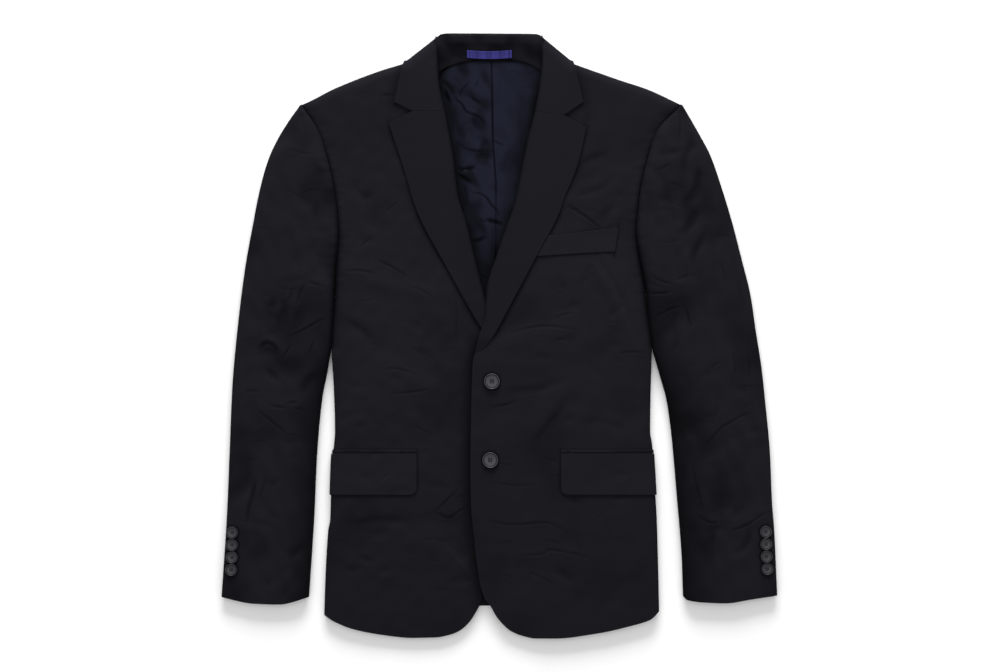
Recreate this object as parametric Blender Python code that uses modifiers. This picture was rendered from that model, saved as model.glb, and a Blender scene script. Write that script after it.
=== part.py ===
"""A man's two-button suit jacket, laid flat on its back with the right front over the left.

The collar points to +Y, the wearer's back lies on the floor at Z = 0, and the origin is the middle of the
footprint. The tables below are in millimetres and the meshes in metres. "left" and "right" are as seen from
above. Every cloth piece is one grid of stations, mapped onto its place by a height function and given its
thickness by Solidify.
"""

import math

import bmesh
import bpy

MM = 0.001

# Cloth, in millimetres.
CLOTH = 1.6
LAPEL_CLOTH = 1.8
LINING_CLOTH = 0.9
TAPE = 0.8
SEAM_GAP = 0.3
UNDER_GAP = 0.8  # between the pieces that lie on the floor
LIES_ON = 0.4  # clear space under a piece that lies on another
LIP = 0.9  # the upright end of an edge that rolls round to its neighbour
ROLL_ANGLES = (25.0, 50.0, 70.0)
OPEN_SEAM = 0.04  # the last strip of a panel where its edge doesn't roll, as a share of the roll's width

# Rows of points that all panels share, so that their seams match, in Y.
SEAM_LEVELS = (-290, -245, -198, -142, -100, -50, -16, 20, 56, 92, 127, 160, 192, 222, 250)
# Where the arm leaves the body, in Y.
ARMPIT_Y = -16.0
ARMHOLE_FLAT_Y = 70.0
SIDE_ROLL = 12.0
ARMHOLE_ROLL = 22.0
SHOULDER_ROLL = 12.0
# The widest roll of an edge, as a share of the piece's width there.
OUTER_ROLL_SHARE = 0.45
INNER_ROLL_SHARE = 0.4
PANEL_ROLL_SHARE = 0.6
Y_REACH = 400.0  # beyond every piece, up and down

# Hip pockets and breast pocket.
FLAP_TOP_Y = -147.0
FLAP_DEPTH = 51.5
FLAP_CORNER = 8.0
FLAP_LIP = 4.0
JET_DEPTH = 4.6
JET_CLOTH = 0.8
WELT_CLOTH = 1.1

# Buttons: diameters, height and the centres of each, as (x, y).
FRONT_BUTTON = 20.0
CUFF_BUTTON = 15.0
BUTTON_HEIGHT = 3.2
FRONT_BUTTONS = ((-8.8, -57.0), (-10.9, -155.0))
CUFF_BUTTONS = {  # from the cuff up
    "left": ((-333.2, -291.5), (-332.3, -276), (-332.2, -260.5), (-332, -245)),
    "right": ((333.8, -290.5), (332.7, -275), (332.2, -259.5), (331.8, -244)),
}

# Each outline is a table of (y, x) or, for what runs across, (x, y), in millimetres.
# side_edge: the armhole seam down to the armpit and the side fold under it.
# front_edge: the roll line down to the break and the front edge under it.
# hem, shoulder, cuff: lower and upper ends. sleeve_out, sleeve_in: the sleeve's two folds.
# lapel_out, lapel_top: the lapel's edge and its gorge and notch. leaf_*: the collar leaf.
OUTLINES = {
    "left": {
        "side_edge": (
            (-349, -218), (-303, -216.5), (-243, -213), (-229, -210.5), (-194, -209.5), (-153, -208),
            (-138, -206), (-119, -204.5), (-64, -206), (-16, -208.5), (38, -205.5), (86, -203),
            (127, -199.5), (174, -203), (219, -212.5), (256, -225.5), (287, -246),
        ),
        "front_edge": (
            (-340, -21), (-300, -12), (-270, -2), (-230, 6), (-155, 11), (-45, 11), (-25, 7), (0, -2),
            (42, -16), (79, -26), (141, -41), (174, -51), (222, -57), (272, -66), (318, -75), (372, -77.5),
        ),
        "low_to": ((-380, -34), (-300, -30), (-208, -37), (-58, -36), (-20, -32), (20, -21), (42, -17)),
        "hem": (
            (-218, -348.5), (-205.5, -356.5), (-180, -366.5), (-140, -374), (-110, -377), (-80, -376.5),
            (-61, -373), (-49, -368), (-37.5, -358), (-30, -347), (-25, -338), (-19, -321), (-14, -305),
            (0, -268),
        ),
        "shoulder": (
            (-246, 287), (-234, 292.5), (-206, 307), (-149, 329.5), (-115, 340), (-88, 350), (-76, 353),
        ),
        "sleeve_out": (
            (-326, -346), (-219, -339), (-148, -336), (-64, -332.5), (13, -325.5), (87, -316),
            (134, -307.5), (184, -297.5), (219, -287.5), (244, -276), (267, -262), (287, -247.5),
        ),
        "sleeve_in": (
            (-327, -237), (-268, -233), (-219, -230), (-160, -227.5), (-112, -224), (-76, -220),
            (-46, -214), (-16, -208.8),
        ),
        "cuff": ((-346, -326), (-306, -334), (-274, -335), (-237, -326)),
        "lapel_out": (
            (-27, 4), (9, -22), (41, -41), (86, -66), (147, -99), (174, -109), (194, -114.5), (264.5, -137.5),
        ),
        "lapel_top": ((-137.5, 264.5), (-107.5, 278.6), (-66, 279.4)),
        "lapel_foot": ((-60, -26), (60, -26)),
        "leaf_out": ((279, -134), (290, -130.6), (343, -118.6)),
        "leaf_top": ((-122, 341.3), (-114.2, 343.3), (-72.5, 376.2)),
        "leaf_foot": ((-134, 292), (-130.6, 290.3), (-107.5, 279.1), (-66, 279.9)),
    },
    "right": {
        "side_edge": (
            (-340, 199.7), (-268, 198), (-234, 197), (-190.6, 194.5), (-136, 191), (-119, 188.5),
            (-76, 189), (-16, 190.3), (24, 185.5), (61, 181.5), (93, 175.5), (129, 170.6), (174, 174.4),
            (216, 183), (256, 197.5), (287, 227),
        ),
        "front_edge": (
            (-326, -18.8), (-309, -23.8), (-258, -30.6), (-208, -35), (-158, -35.6), (-108, -35),
            (-58, -33.8), (-32, -32.5), (-22, -30), (3, -23.8), (18, -18.8), (61, -15), (97, -3.8),
            (137, 10), (166, 20), (184, 23.8), (241, 35), (287, 46.2), (344, 53.3), (373, 52.5),
        ),
        "hem": (
            (-24, -309), (-18.8, -326), (-10, -338), (-4, -349), (6, -361), (16, -369), (30, -374.5),
            (45, -377.5), (70, -377.5), (121, -371.5), (166, -361.5), (189, -354), (200, -344),
        ),
        "shoulder": (
            (52, 353), (64, 349.5), (89, 340), (151, 318), (184, 307), (222, 289.5), (227, 287),
        ),
        "sleeve_out": (
            (-324, 347), (-239, 343), (-208, 340.5), (-148, 338), (-83, 332), (-41, 327.5), (7, 320),
            (48, 314), (97, 302), (141, 290.6), (184, 277.5), (223, 264), (257, 246), (287, 228.5),
        ),
        "sleeve_in": (
            (-325, 229.5), (-279, 228), (-243, 225.5), (-203, 222), (-167, 219), (-124, 215), (-81, 209),
            (-50, 200.5), (-16, 190.6),
        ),
        "cuff": ((229.5, -325), (234, -329.5), (256, -332.5), (281, -333.5), (316, -328.5), (347, -324)),
        "lapel_out": (
            (-24, -25.5), (-7, -11), (41, 16), (97, 46), (152, 75), (174, 82.5), (190.6, 90),
            (212.5, 98), (258.5, 109),
        ),
        "lapel_top": ((44, 278.5), (81, 273.8), (109, 258.5)),
        "lapel_foot": ((-60, -24), (60, -24)),
        "leaf_out": ((274, 107), (290, 105), (343, 92.5)),
        "leaf_top": ((50, 375.6), (88.8, 343.3), (96, 341.3)),
        "leaf_foot": ((44, 279), (81, 274.3), (105, 290.2), (110, 294)),
    },
}

# Heights of the top layer's outer face, as (y, z).
PLATEAU = {
    "left": (
        (-377, 9), (-340, 10.6), (-250, 11.6), (-100, 12), (0, 12.4), (150, 14), (250, 16), (300, 17),
        (380, 17.5),
    ),
    "right": (
        (-377, 10.6), (-340, 11.6), (-250, 12), (-60, 12.6), (0, 14.8), (150, 15), (250, 16), (300, 17),
        (380, 17.5),
    ),
}
FRONT_EDGE_HEIGHT = {
    "left": ((-377, 8.4), (-250, 8.9), (-20, 9.1), (60, 9.6), (150, 11), (280, 12.5), (350, 11)),
    "right": (
        (-377, 10.6), (-250, 11.1), (-60, 11.4), (-28, 13.6), (0, 14.4), (60, 14.4), (150, 13.6),
        (280, 12.5), (350, 11),
    ),
}
VALLEY = (
    (-350, 5.8), (-90, 6.2), (-50, 7), (-16, 9.5), (30, 12), (100, 14), (200, 15), (250, 14), (275, 12),
    (290, 9),
)
SLEEVE_PLATEAU = ((-330, 12.5), (-250, 13), (-100, 14), (0, 15), (120, 17), (220, 18), (290, 17))
SLEEVE_EDGE = ((-330, 6.3), (0, 7), (200, 8.5), (290, 9))
SLEEVE_ROLL = ((-330, 7), (-230, 8), (-150, 12), (0, 16), (200, 20), (290, 12))
CAP_ROLL = 5.0
CAP_EDGE = 9.0
CAP_TOP_Y = 284.0
# How high the shoulder's edge lies, by distance from the garment's centre line.
SHOULDER_EDGE = ((70, 7), (110, 7.5), (240, 9))
CENTRE_X = -10.0
FRONT_BLEND = 45.0  # from a front's low edge to its plateau

# The largest folds: side, piece, two ends, half width and height, in millimetres.
FOLDS = (
    ("left", "front", (-191, 80), (-84, 48), 12, 1.2),
    ("left", "front", (-190, 16), (-150, -8), 14, -1.0),
    ("left", "front", (-142, -42), (-86, -66), 12, 1.0),
    ("left", "front", (-92, -258), (-56, -290), 14, 1.2),
    ("left", "front", (-178, -236), (-60, -230), 12, -1.0),
    ("right", "front", (132, 72), (176, -12), 12, 1.4),
    ("right", "front", (16, -6), (95, 10), 12, 1.2),
    ("right", "front", (94, -80), (48, -136), 13, -1.0),
    ("right", "front", (84, 166), (146, 198), 12, 1.0),
    ("right", "front", (28, -274), (120, -276), 12, 1.2),
    ("left", "sleeve", (-258, 72), (-212, 58), 12, 1.4),
    ("left", "sleeve", (-292, -20), (-266, -36), 13, -1.2),
    ("left", "sleeve", (-294, -90), (-248, -86), 12, 1.4),
    ("left", "sleeve", (-300, -172), (-314, -236), 13, 1.4),
    ("right", "sleeve", (186, 76), (222, 60), 12, 1.4),
    ("right", "sleeve", (200, 24), (226, 38), 13, -1.2),
    ("right", "sleeve", (232, -136), (250, -204), 13, 1.4),
    ("right", "sleeve", (246, -230), (328, -226), 12, 1.2),
)

# Hidden edges: back hem, centre back and the neck's parts.
BACK_HEM = ((-218, -347), (-150, -343), (-10, -337.5), (140, -341), (200, -343))
NECK_HALF = 64.0  # out to here from the centre line, the back ends at its neck seam
SHOULDER_FROM = 66.0  # from here it rises to the shoulder seam
SHOULDER_RUN = 16.0
BACK_NECK = {
    "left": ((-76, 350), (-50, 344), (-10, 342)),
    "right": ((-10, 342), (34, 344), (52, 350)),
}
SIDE_PANEL_SEAM = {  # (y, x)
    "left": ((-350, -156), (-100, -149), (-16, -150), (20, -157), (92, -197.5)),
    "right": ((-350, 138), (-100, 131), (-16, 131), (20, 138), (92, 170)),
}
SIDE_PANEL_TOP_Y = 92.0
COLLAR_FOOT = ((-107, 333), (-100, 333), (-72, 328), (-10, 325), (50, 328), (78, 333), (82, 333))
COLLAR_TOP = ((-107, 348.6), (-72.5, 376.2), (50, 375.6), (82, 348.8))
COLLAR_COLUMNS = (-107, -98, -90, -81, -72.5, -60, -35, -10, 15, 38, 50, 58, 66, 74, 82)
COLLAR_LIFT = 2.2  # the back rises this far to lie over the collar's fall
RISE_STARTS = 64.0  # it starts to rise this far below the fall's foot
RISE_RUN = 60.0
COLLAR_ROLL = 14.0
FALL_ROLL = 8.0
COLLAR_EDGE = ((-114, 7), (-72.5, 5.4), (50, 5.4), (89, 7))
ROLL_LINE_FALL = 1.5  # how quickly that fullness falls away from the roll line
LAPEL_LEAST = 4.0  # the width that a lapel counts as having where it is narrower
ROLL_LINE_LIFT = {  # how far the lapel and leaf stand off the front at the roll line, as (y, z)
    "left": ((-26, 0.1), (45, 0.3), (100, 2.2), (180, 3.2), (320, 3.0), (350, 1.5)),
    "right": ((-24, 0.4), (20, 0.8), (90, 2.2), (180, 3.2), (320, 3.0), (350, 1.5)),
}
STAND_FOOT = ((-78, 347), (-10, 344.5), (54, 340))
STAND_TOP = ((-76, 376.2), (50, 375.6))
STAND_INSET = 1.2  # how far its ends lie inside the roll lines
STAND_ROLL = 5.0
STAND_CLOTH = 1.4
STAND_HEIGHT = ((338, 7.2), (346, 7.2), (366, 9.4), (377, 9.6))
LINING_SEAM = ((18, -3), (138, -3.8), (182, -3.8), (242, -7.5), (344, -9.4))
LINING_UNDER = 10.0  # how far the lining runs in under the fronts
LINING_LEAST = 18.0  # its least width from the seam
LINING_TOP_Y = 340.0
LINING_FOOT_Y = 18.0
LINING_LEVELS_FROM = 28.0  # the first of the shared rows that it takes
LOOP = {"left": -40.0, "right": 16.0, "foot": 346.0, "top": 355.5, "sag": 1.5, "slack": 0.6}
BREAST_WELT = {
    "top": ((50, 123), (62, 124.5), (126, 131.5), (150, 134)),
    "foot": ((40, 98), (62, 99.5), (115, 103), (150, 104.5)),
    "end": ((98, 143.5), (140, 149.5)),
}
FLAP_FRONT_X = {"left": -102.5, "right": 77.2}

SIGN = {"left": -1.0, "right": 1.0}
COLOURS = {  # name: linear RGB, roughness
    "worsted": ((0.0137, 0.0130, 0.0168), 0.85),
    "lining": ((0.0203, 0.0232, 0.0545), 0.45),
    "tape": ((0.0529, 0.0452, 0.2086), 0.6),
    "button": ((0.0423, 0.0409, 0.0497), 0.4),
}


def smooth(rows):
    """A curve through (at, value) rows that never overshoots them, straight past its ends."""
    at = [float(row[0]) for row in rows]
    value = [float(row[1]) for row in rows]
    steps = [b - a for a, b in zip(at, at[1:])]
    slopes = [(b - a) / h for a, b, h in zip(value, value[1:], steps)]
    tangents = [slopes[0]]
    for before, after in zip(slopes, slopes[1:]):
        same_way = before * after > 0
        tangents.append(2 * before * after / (before + after) if same_way else 0.0)
    tangents.append(slopes[-1])

    def curve(x):
        if x <= at[0]:
            return value[0] + tangents[0] * (x - at[0])
        if x >= at[-1]:
            return value[-1] + tangents[-1] * (x - at[-1])
        i = max(k for k in range(len(steps)) if at[k] <= x)
        t = (x - at[i]) / steps[i]
        return (
            value[i] * (1 + 2 * t) * (1 - t) ** 2
            + steps[i] * tangents[i] * t * (1 - t) ** 2
            + value[i + 1] * t * t * (3 - 2 * t)
            + steps[i] * tangents[i + 1] * t * t * (t - 1)
        )

    return curve


def straight(rows):
    """A function through (at, value) rows with straight runs between them."""

    def line(x):
        for (a, start), (b, end) in zip(rows, rows[1:]):
            if x <= b or b == rows[-1][0]:
                return start + (end - start) * (x - a) / (b - a)

    return line


def level(value):
    return lambda _: value


def held(curve, low, high):
    """The curve, with its ends level instead of straight on."""
    return lambda x: curve(min(max(x, low), high))


def ease(t):
    t = min(max(t, 0.0), 1.0)
    return t * t * (3 - 2 * t)


def rolled(distance, width):
    """How far an edge has risen, from 0 at the edge to 1 where the cloth is flat."""
    if distance >= width:
        return 1.0
    return math.sqrt(1.0 - (1.0 - max(distance, 0.0) / width) ** 2)


def lift(y):
    """0 where the sleeve is joined on, 1 where the sides of body and sleeve are folds of their own."""
    return 1.0 - ease((y - ARMPIT_Y) / (ARMHOLE_FLAT_Y - ARMPIT_Y))


STRAIGHT_OUTLINES = ("lapel_top", "lapel_foot", "leaf_out", "leaf_top", "leaf_foot")
LINES = {
    side: {
        name: straight(rows) if name in STRAIGHT_OUTLINES else smooth(rows)
        for name, rows in outlines.items()
    }
    for side, outlines in OUTLINES.items()
}
plateau = {side: smooth(rows) for side, rows in PLATEAU.items()}
front_edge_height = {side: smooth(rows) for side, rows in FRONT_EDGE_HEIGHT.items()}
roll_line_lift = {
    side: held(smooth(rows), rows[0][0], rows[-1][0]) for side, rows in ROLL_LINE_LIFT.items()
}
valley = held(smooth(VALLEY), VALLEY[0][0], VALLEY[-1][0])
sleeve_plateau = smooth(SLEEVE_PLATEAU)
sleeve_edge = smooth(SLEEVE_EDGE)
sleeve_roll = smooth(SLEEVE_ROLL)
shoulder_edge = smooth(SHOULDER_EDGE)
side_panel_seam = {side: smooth(rows) for side, rows in SIDE_PANEL_SEAM.items()}
back_hem = smooth(BACK_HEM)
collar_foot = smooth(COLLAR_FOOT)
collar_top = straight(COLLAR_TOP)
collar_edge = straight(COLLAR_EDGE)


def armhole_roll(y):
    return SIDE_ROLL + (ARMHOLE_ROLL - SIDE_ROLL) * (1.0 - lift(y))


def fold_height(side, piece, x, y):
    """The sum of the folds at a point: each is a soft ridge that fades at its ends."""
    total = 0.0
    for fold_side, fold_piece, (x0, y0), (x1, y1), width, height in FOLDS:
        if fold_side != side or fold_piece != piece:
            continue
        along_x, along_y = x1 - x0, y1 - y0
        length = math.hypot(along_x, along_y)
        t = ((x - x0) * along_x + (y - y0) * along_y) / length**2
        across = abs((x - x0) * along_y - (y - y0) * along_x) / length
        past = max(-t, t - 1.0, 0.0) * length
        total += height * math.exp(-((across / width) ** 2) - (past / width) ** 2)
    return total


def shoulder_distance(side, x, y):
    """How far below the shoulder's edge a point lies, measured square to it."""
    line = LINES[side]["shoulder"]
    slope = (line(x + 1.0) - line(x - 1.0)) / 2.0
    return (line(x) - y) / math.hypot(1.0, slope)


def chest_height(side, x, y):
    """A front's outer face before its edges roll: low along the front edge, full beyond it."""
    sign = SIGN[side]
    lines = LINES[side]
    low_to = lines["front_edge"](y)
    if side == "left" and y < 42.0:
        low_to = min(low_to, lines["low_to"](y))
    high = plateau[side](y)
    low = min(front_edge_height[side](y), high)
    return low + (high - low) * ease(sign * (x - low_to) / FRONT_BLEND)


def front_height(side, x, y):
    """The outer face of a front, from its front edge to the side fold or armhole and the shoulder."""
    sign = SIGN[side]
    lines = LINES[side]
    z = chest_height(side, x, y) + fold_height(side, "front", x, y)
    side_low = valley(y) + LIP * lift(y)
    z = side_low + (z - side_low) * rolled(sign * (lines["side_edge"](y) - x), armhole_roll(y))
    top_low = shoulder_edge(abs(x - CENTRE_X)) + LIP
    return top_low + (z - top_low) * rolled(shoulder_distance(side, x, y), SHOULDER_ROLL)


def sleeve_inner(side, y):
    """The sleeve's inner line: the armhole seam down to the armpit, then its own fold."""
    return LINES[side]["side_edge" if y > ARMPIT_Y else "sleeve_in"](y)


def sleeve_rolls(side, y):
    """The widths of the rolls at a sleeve's outer and inner folds, less where the sleeve is narrow."""
    width = abs(LINES[side]["sleeve_out"](y) - sleeve_inner(side, y))
    outer, inner = sleeve_roll(y), armhole_roll(y)
    return min(outer, OUTER_ROLL_SHARE * width), min(inner, INNER_ROLL_SHARE * width)


def sleeve_height(side, x, y):
    """The outer face of a top sleeve."""
    sign = SIGN[side]
    outer_roll, inner_roll = sleeve_rolls(side, y)
    z = sleeve_plateau(y) + fold_height(side, "sleeve", x, y)
    inner_low = valley(y) + LIP * lift(y)
    z = inner_low + (z - inner_low) * rolled(sign * (x - sleeve_inner(side, y)), inner_roll)
    outer_low = sleeve_edge(y) + LIP
    z = outer_low + (z - outer_low) * rolled(sign * (LINES[side]["sleeve_out"](y) - x), outer_roll)
    return CAP_EDGE + LIP + (z - CAP_EDGE - LIP) * rolled(CAP_TOP_Y - y, CAP_ROLL)


def sleeve_under_height(side, x, y):
    """The outer face of an under sleeve: flat on the floor, rolled up at its folds and at the cap."""
    sign = SIGN[side]
    outer_roll, inner_roll = sleeve_rolls(side, y)
    outer = (sleeve_edge(y) - SEAM_GAP - LIP) * (
        1.0 - rolled(sign * (LINES[side]["sleeve_out"](y) - x), outer_roll)
    )
    inner = lift(y) * (valley(y) - SEAM_GAP - LIP) * (
        1.0 - rolled(sign * (x - sleeve_inner(side, y)), inner_roll)
    )
    cap = (CAP_EDGE - SEAM_GAP - LIP) * (1.0 - rolled(CAP_TOP_Y - y, CAP_ROLL))
    return max(outer, inner, cap)


def over_collar(x, y):
    """How far the back is raised to lie over the collar's fall."""
    return COLLAR_LIFT * ease((y - collar_foot(x) + RISE_STARTS) / RISE_RUN)


def under_height(side, x, y):
    """The outer face of the back and side panels, which lie on the floor and over the collar's fall."""
    sign = SIGN[side]
    raised = over_collar(x, y)
    edge = lift(y) * (valley(y) - SEAM_GAP - LIP) * (
        1.0 - rolled(sign * (LINES[side]["side_edge"](y) - x), armhole_roll(y))
    )
    top = shoulder_edge(abs(x - CENTRE_X)) - SEAM_GAP - LIP
    beside_neck = ease((abs(x - CENTRE_X) - SHOULDER_FROM) / SHOULDER_RUN)
    turned_up = beside_neck * (1.0 - rolled(shoulder_distance(side, x, y), SHOULDER_ROLL))
    return max(raised + (top - raised) * turned_up, edge)


def stations(flat, start_roll=False, end_roll=False, crowd=1.0):
    """(share of the flat run, start roll, end roll) for each column of a grid.

    A roll is the sine of the angle that the edge has turned; -1 marks the edge's last station. A crowd
    above 1 sets the flat stations closer at the start."""
    angles = [math.sin(math.radians(angle)) for angle in ROLL_ANGLES]
    found = [((i / (flat - 1)) ** crowd, 0.0, 0.0) for i in range(flat)]
    if start_roll:
        found = [(0.0, -1.0, 0.0), (0.0, 1.0, 0.0)] + [(0.0, a, 0.0) for a in reversed(angles)] + found
    if end_roll:
        found += [(1.0, 0.0, a) for a in angles] + [(1.0, 0.0, 1.0), (1.0, 0.0, -1.0)]
    return found


def column_place(station, start, end, start_roll, end_roll, lifted):
    """Where a column lies between two edges, and whether it is the lip of one of them."""
    share, at_start, at_end = station
    sign = 1.0 if end >= start else -1.0
    flat = abs(end - start) - start_roll - end_roll
    run = start_roll + share * flat
    strip = OPEN_SEAM * (1.0 - lifted)
    if at_start:
        run = 0.0 if at_start < 0 else start_roll * max(1.0 - at_start, strip)
    if at_end:
        run = abs(end - start) - (0.0 if at_end < 0 else end_roll * max(1.0 - at_end, strip))
    return start + sign * run, at_start < 0 or at_end < 0


def row_places(low, high, levels, above, roll):
    """(y, whether it is the edge's lip) of each row of a column: its foot, the shared levels, its top."""
    last = levels[-1] if levels else low
    found = [(low, False)] + [(y, False) for y in levels]
    found += [(last + (high - roll - last) * (k + 1) / above, False) for k in range(above)]
    if roll:
        found += [(high - roll * (1.0 - math.sin(math.radians(angle))), False) for angle in ROLL_ANGLES]
        found += [(high, False), (high, True)]
    return found


def meet(curve, across):
    """The Y at which a line that runs up the cloth, x = across(y), meets y = curve(x)."""
    low, high = -Y_REACH, Y_REACH
    for _ in range(40):
        middle = (low + high) / 2.0
        if middle < curve(across(middle)):
            low = middle
        else:
            high = middle
    return (low + high) / 2.0


def panel(name, cloth, columns, above, start, end, foot, top, height, **options):
    """A piece of cloth between two lines that run up it and two that run across it.

    Its rows are its foot, any shared levels and, above them, a number of even steps to its top."""
    levels = options.get("levels", ())
    thickness = options.get("thickness", CLOTH)
    rolls = options.get("rolls", level((0.0, 0.0)))
    top_roll = options.get("top_roll", 0.0)
    lifted = options.get("lifted", level(1.0))
    faces_up = options.get("faces_up", True)
    lip = options.get("lip", LIP)

    points = {}
    for i, column in enumerate(columns):

        def across(y):
            start_roll, end_roll = rolls(y)
            return column_place(column, start(y), end(y), start_roll, end_roll, lifted(y))[0]

        y_low = meet(foot, across)
        y_high = meet(top, across)
        rows = row_places(y_low, y_high, levels, above, top_roll)
        for j, (y, row_is_lip) in enumerate(rows):
            start_roll, end_roll = rolls(y)
            x, column_is_lip = column_place(column, start(y), end(y), start_roll, end_roll, lifted(y))
            z = height(x, y)
            down = lip * max(lifted(y) * column_is_lip, float(row_is_lip))
            points[i, j] = (x, y, z - down if faces_up else z + down)
    mesh = bpy.data.meshes.new(name)
    grid = bmesh.new()
    bmesh.ops.create_grid(grid, x_segments=len(columns) - 1, y_segments=len(rows) - 1, size=1.0)
    for vertex in grid.verts:
        i = round((vertex.co.x + 1.0) / 2.0 * (len(columns) - 1))
        j = round((vertex.co.y + 1.0) / 2.0 * (len(rows) - 1))
        vertex.co = [value * MM for value in points[i, j]]
    runs_left = points[0, 0][0] > points[len(columns) - 1, 0][0]
    if runs_left == faces_up:
        bmesh.ops.reverse_faces(grid, faces=grid.faces)
    grid.to_mesh(mesh)
    grid.free()
    return clothe(name, mesh, cloth, thickness)


def clothe(name, mesh, cloth, thickness):
    """The object of a cloth mesh, with its thickness inwards."""
    mesh.materials.append(material(cloth))
    mesh.shade_smooth()
    piece = bpy.data.objects.new(name, mesh)
    wall = piece.modifiers.new("wall", "SOLIDIFY")
    wall.thickness = thickness * MM
    wall.offset = -1.0
    jacket.objects.link(piece)
    return piece


def material(name):
    if name in bpy.data.materials:
        return bpy.data.materials[name]
    made = bpy.data.materials.new(name)
    made.use_nodes = True
    colour, roughness = COLOURS[name]
    shader = made.node_tree.nodes["Principled BSDF"]
    shader.inputs["Base Color"].default_value = (*colour, 1.0)
    shader.inputs["Roughness"].default_value = roughness
    shader.inputs["Metallic"].default_value = 0.0
    made.diffuse_color = (*colour, 1.0)
    return made


def fronts():
    """Each front runs from its front edge to the side fold, the armhole seam and the shoulder."""
    for side, lines in LINES.items():
        half_seam = SIGN[side] * SEAM_GAP / 2.0
        panel(
            f"front_{side}",
            "worsted",
            stations(10, end_roll=True, crowd=1.5),
            3,
            lines["front_edge"],
            lambda y, lines=lines, half_seam=half_seam: lines["side_edge"](y) - half_seam,
            lines["hem"],
            lines["shoulder"],
            lambda x, y, side=side: front_height(side, x, y),
            rolls=lambda y: (0.0, armhole_roll(y)),
            levels=SEAM_LEVELS,
            top_roll=SHOULDER_ROLL,
            lifted=lift,
        )


def side_panels():
    """Each side panel wraps round the side fold from the front's edge and lies under, to the back's seam."""
    for side, lines in LINES.items():
        half_seam = SIGN[side] * UNDER_GAP / 2.0

        def seam(y, side=side, half_seam=half_seam):
            return side_panel_seam[side](y) + half_seam

        def edge(y, lines=lines, half_seam=half_seam):
            return lines["side_edge"](y) - half_seam * (1.0 - lift(y))

        panel(
            f"side_panel_{side}",
            "worsted",
            stations(4, end_roll=True),
            1,
            seam,
            edge,
            back_hem,
            level(SIDE_PANEL_TOP_Y),
            lambda x, y, side=side: under_height(side, x, y),
            levels=[y for y in SEAM_LEVELS if y < SIDE_PANEL_TOP_Y],
            rolls=lambda y, seam=seam, edge=edge: (
                0.0,
                min(armhole_roll(y), PANEL_ROLL_SHARE * abs(edge(y) - seam(y))),
            ),
            lifted=lift,
            faces_up=False,
        )


def backs():
    """The two halves of the back, joined at the centre-back seam."""
    for side, lines in LINES.items():
        half_seam = SIGN[side] * UNDER_GAP / 2.0
        neck = smooth(BACK_NECK[side])

        def outer(y, side=side, half_seam=half_seam):
            edge = side_panel_seam[side] if y <= SIDE_PANEL_TOP_Y else LINES[side]["side_edge"]
            return edge(y) - half_seam

        def top(x, lines=lines, neck=neck):
            return neck(x) if abs(x - CENTRE_X) < NECK_HALF else lines["shoulder"](x)

        panel(
            f"back_{side}",
            "worsted",
            stations(9),
            5,
            level(CENTRE_X + half_seam),
            outer,
            back_hem,
            top,
            lambda x, y, side=side: under_height(side, x, y),
            levels=SEAM_LEVELS,
            top_roll=SHOULDER_ROLL,
            faces_up=False,
        )


def sleeves():
    """Two-piece sleeves: the top sleeve shows, the under sleeve lies on the floor."""
    for side, lines in LINES.items():
        shared = {
            "end": lines["sleeve_out"],
            "foot": lines["cuff"],
            "top": level(CAP_TOP_Y),
            "rolls": lambda y, side=side: sleeve_rolls(side, y)[::-1],
            "top_roll": CAP_ROLL,
            "lifted": lift,
            "levels": SEAM_LEVELS,
        }

        def inner(y, side=side, gap=SEAM_GAP):
            return sleeve_inner(side, y) + SIGN[side] * gap / 2.0

        panel(
            f"top_sleeve_{side}",
            "worsted",
            stations(6, start_roll=True, end_roll=True),
            1,
            start=inner,
            height=lambda x, y, side=side: sleeve_height(side, x, y),
            **shared,
        )
        panel(
            f"under_sleeve_{side}",
            "worsted",
            stations(2, start_roll=True, end_roll=True),
            1,
            start=lambda y, inner=inner: inner(y, gap=UNDER_GAP),
            height=lambda x, y, side=side: sleeve_under_height(side, x, y),
            faces_up=False,
            **shared,
        )


def leaf_height(side, x, y):
    """A collar leaf's outer face, which rolls under at the neck's fold."""
    sign = SIGN[side]
    top_line = LINES[side]["leaf_top"]
    roll_line = LINES[side]["front_edge"](y)
    width = abs(LINES[side]["leaf_out"](y) - roll_line)
    off_line = 1.0 - min(max(sign * (x - roll_line) / width, 0.0), 1.0)
    fullness = roll_line_lift[side](y) * off_line**ROLL_LINE_FALL
    z = chest_height(side, x, y) + LIES_ON + LAPEL_CLOTH + fullness
    slope = (top_line(x + 1.0) - top_line(x - 1.0)) / 2.0
    distance = (top_line(x) - y) / math.hypot(1.0, slope)
    edge = collar_edge(x) + LIP
    return edge + (z - edge) * rolled(distance, COLLAR_ROLL)


def lapel_height(side, x, y):
    """A lapel's outer face: the front's own face moved out, and fuller along the roll line."""
    roll_line = LINES[side]["front_edge"](y)
    width = max(abs(LINES[side]["lapel_out"](y) - roll_line), LAPEL_LEAST)
    off_line = 1.0 - min(max(SIGN[side] * (x - roll_line) / width, 0.0), 1.0)
    fullness = roll_line_lift[side](y) * off_line**ROLL_LINE_FALL
    return front_height(side, x, y) + LIES_ON + LAPEL_CLOTH + fullness


def lapels():
    """The turned facings, which lie on the fronts from the gorge to the break."""
    for side, lines in LINES.items():
        panel(
            f"lapel_{side}",
            "worsted",
            stations(8),
            16,
            lines["front_edge"],
            lines["lapel_out"],
            lines["lapel_foot"],
            lines["lapel_top"],
            lambda x, y, side=side: lapel_height(side, x, y),
            thickness=LAPEL_CLOTH,
        )


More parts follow.
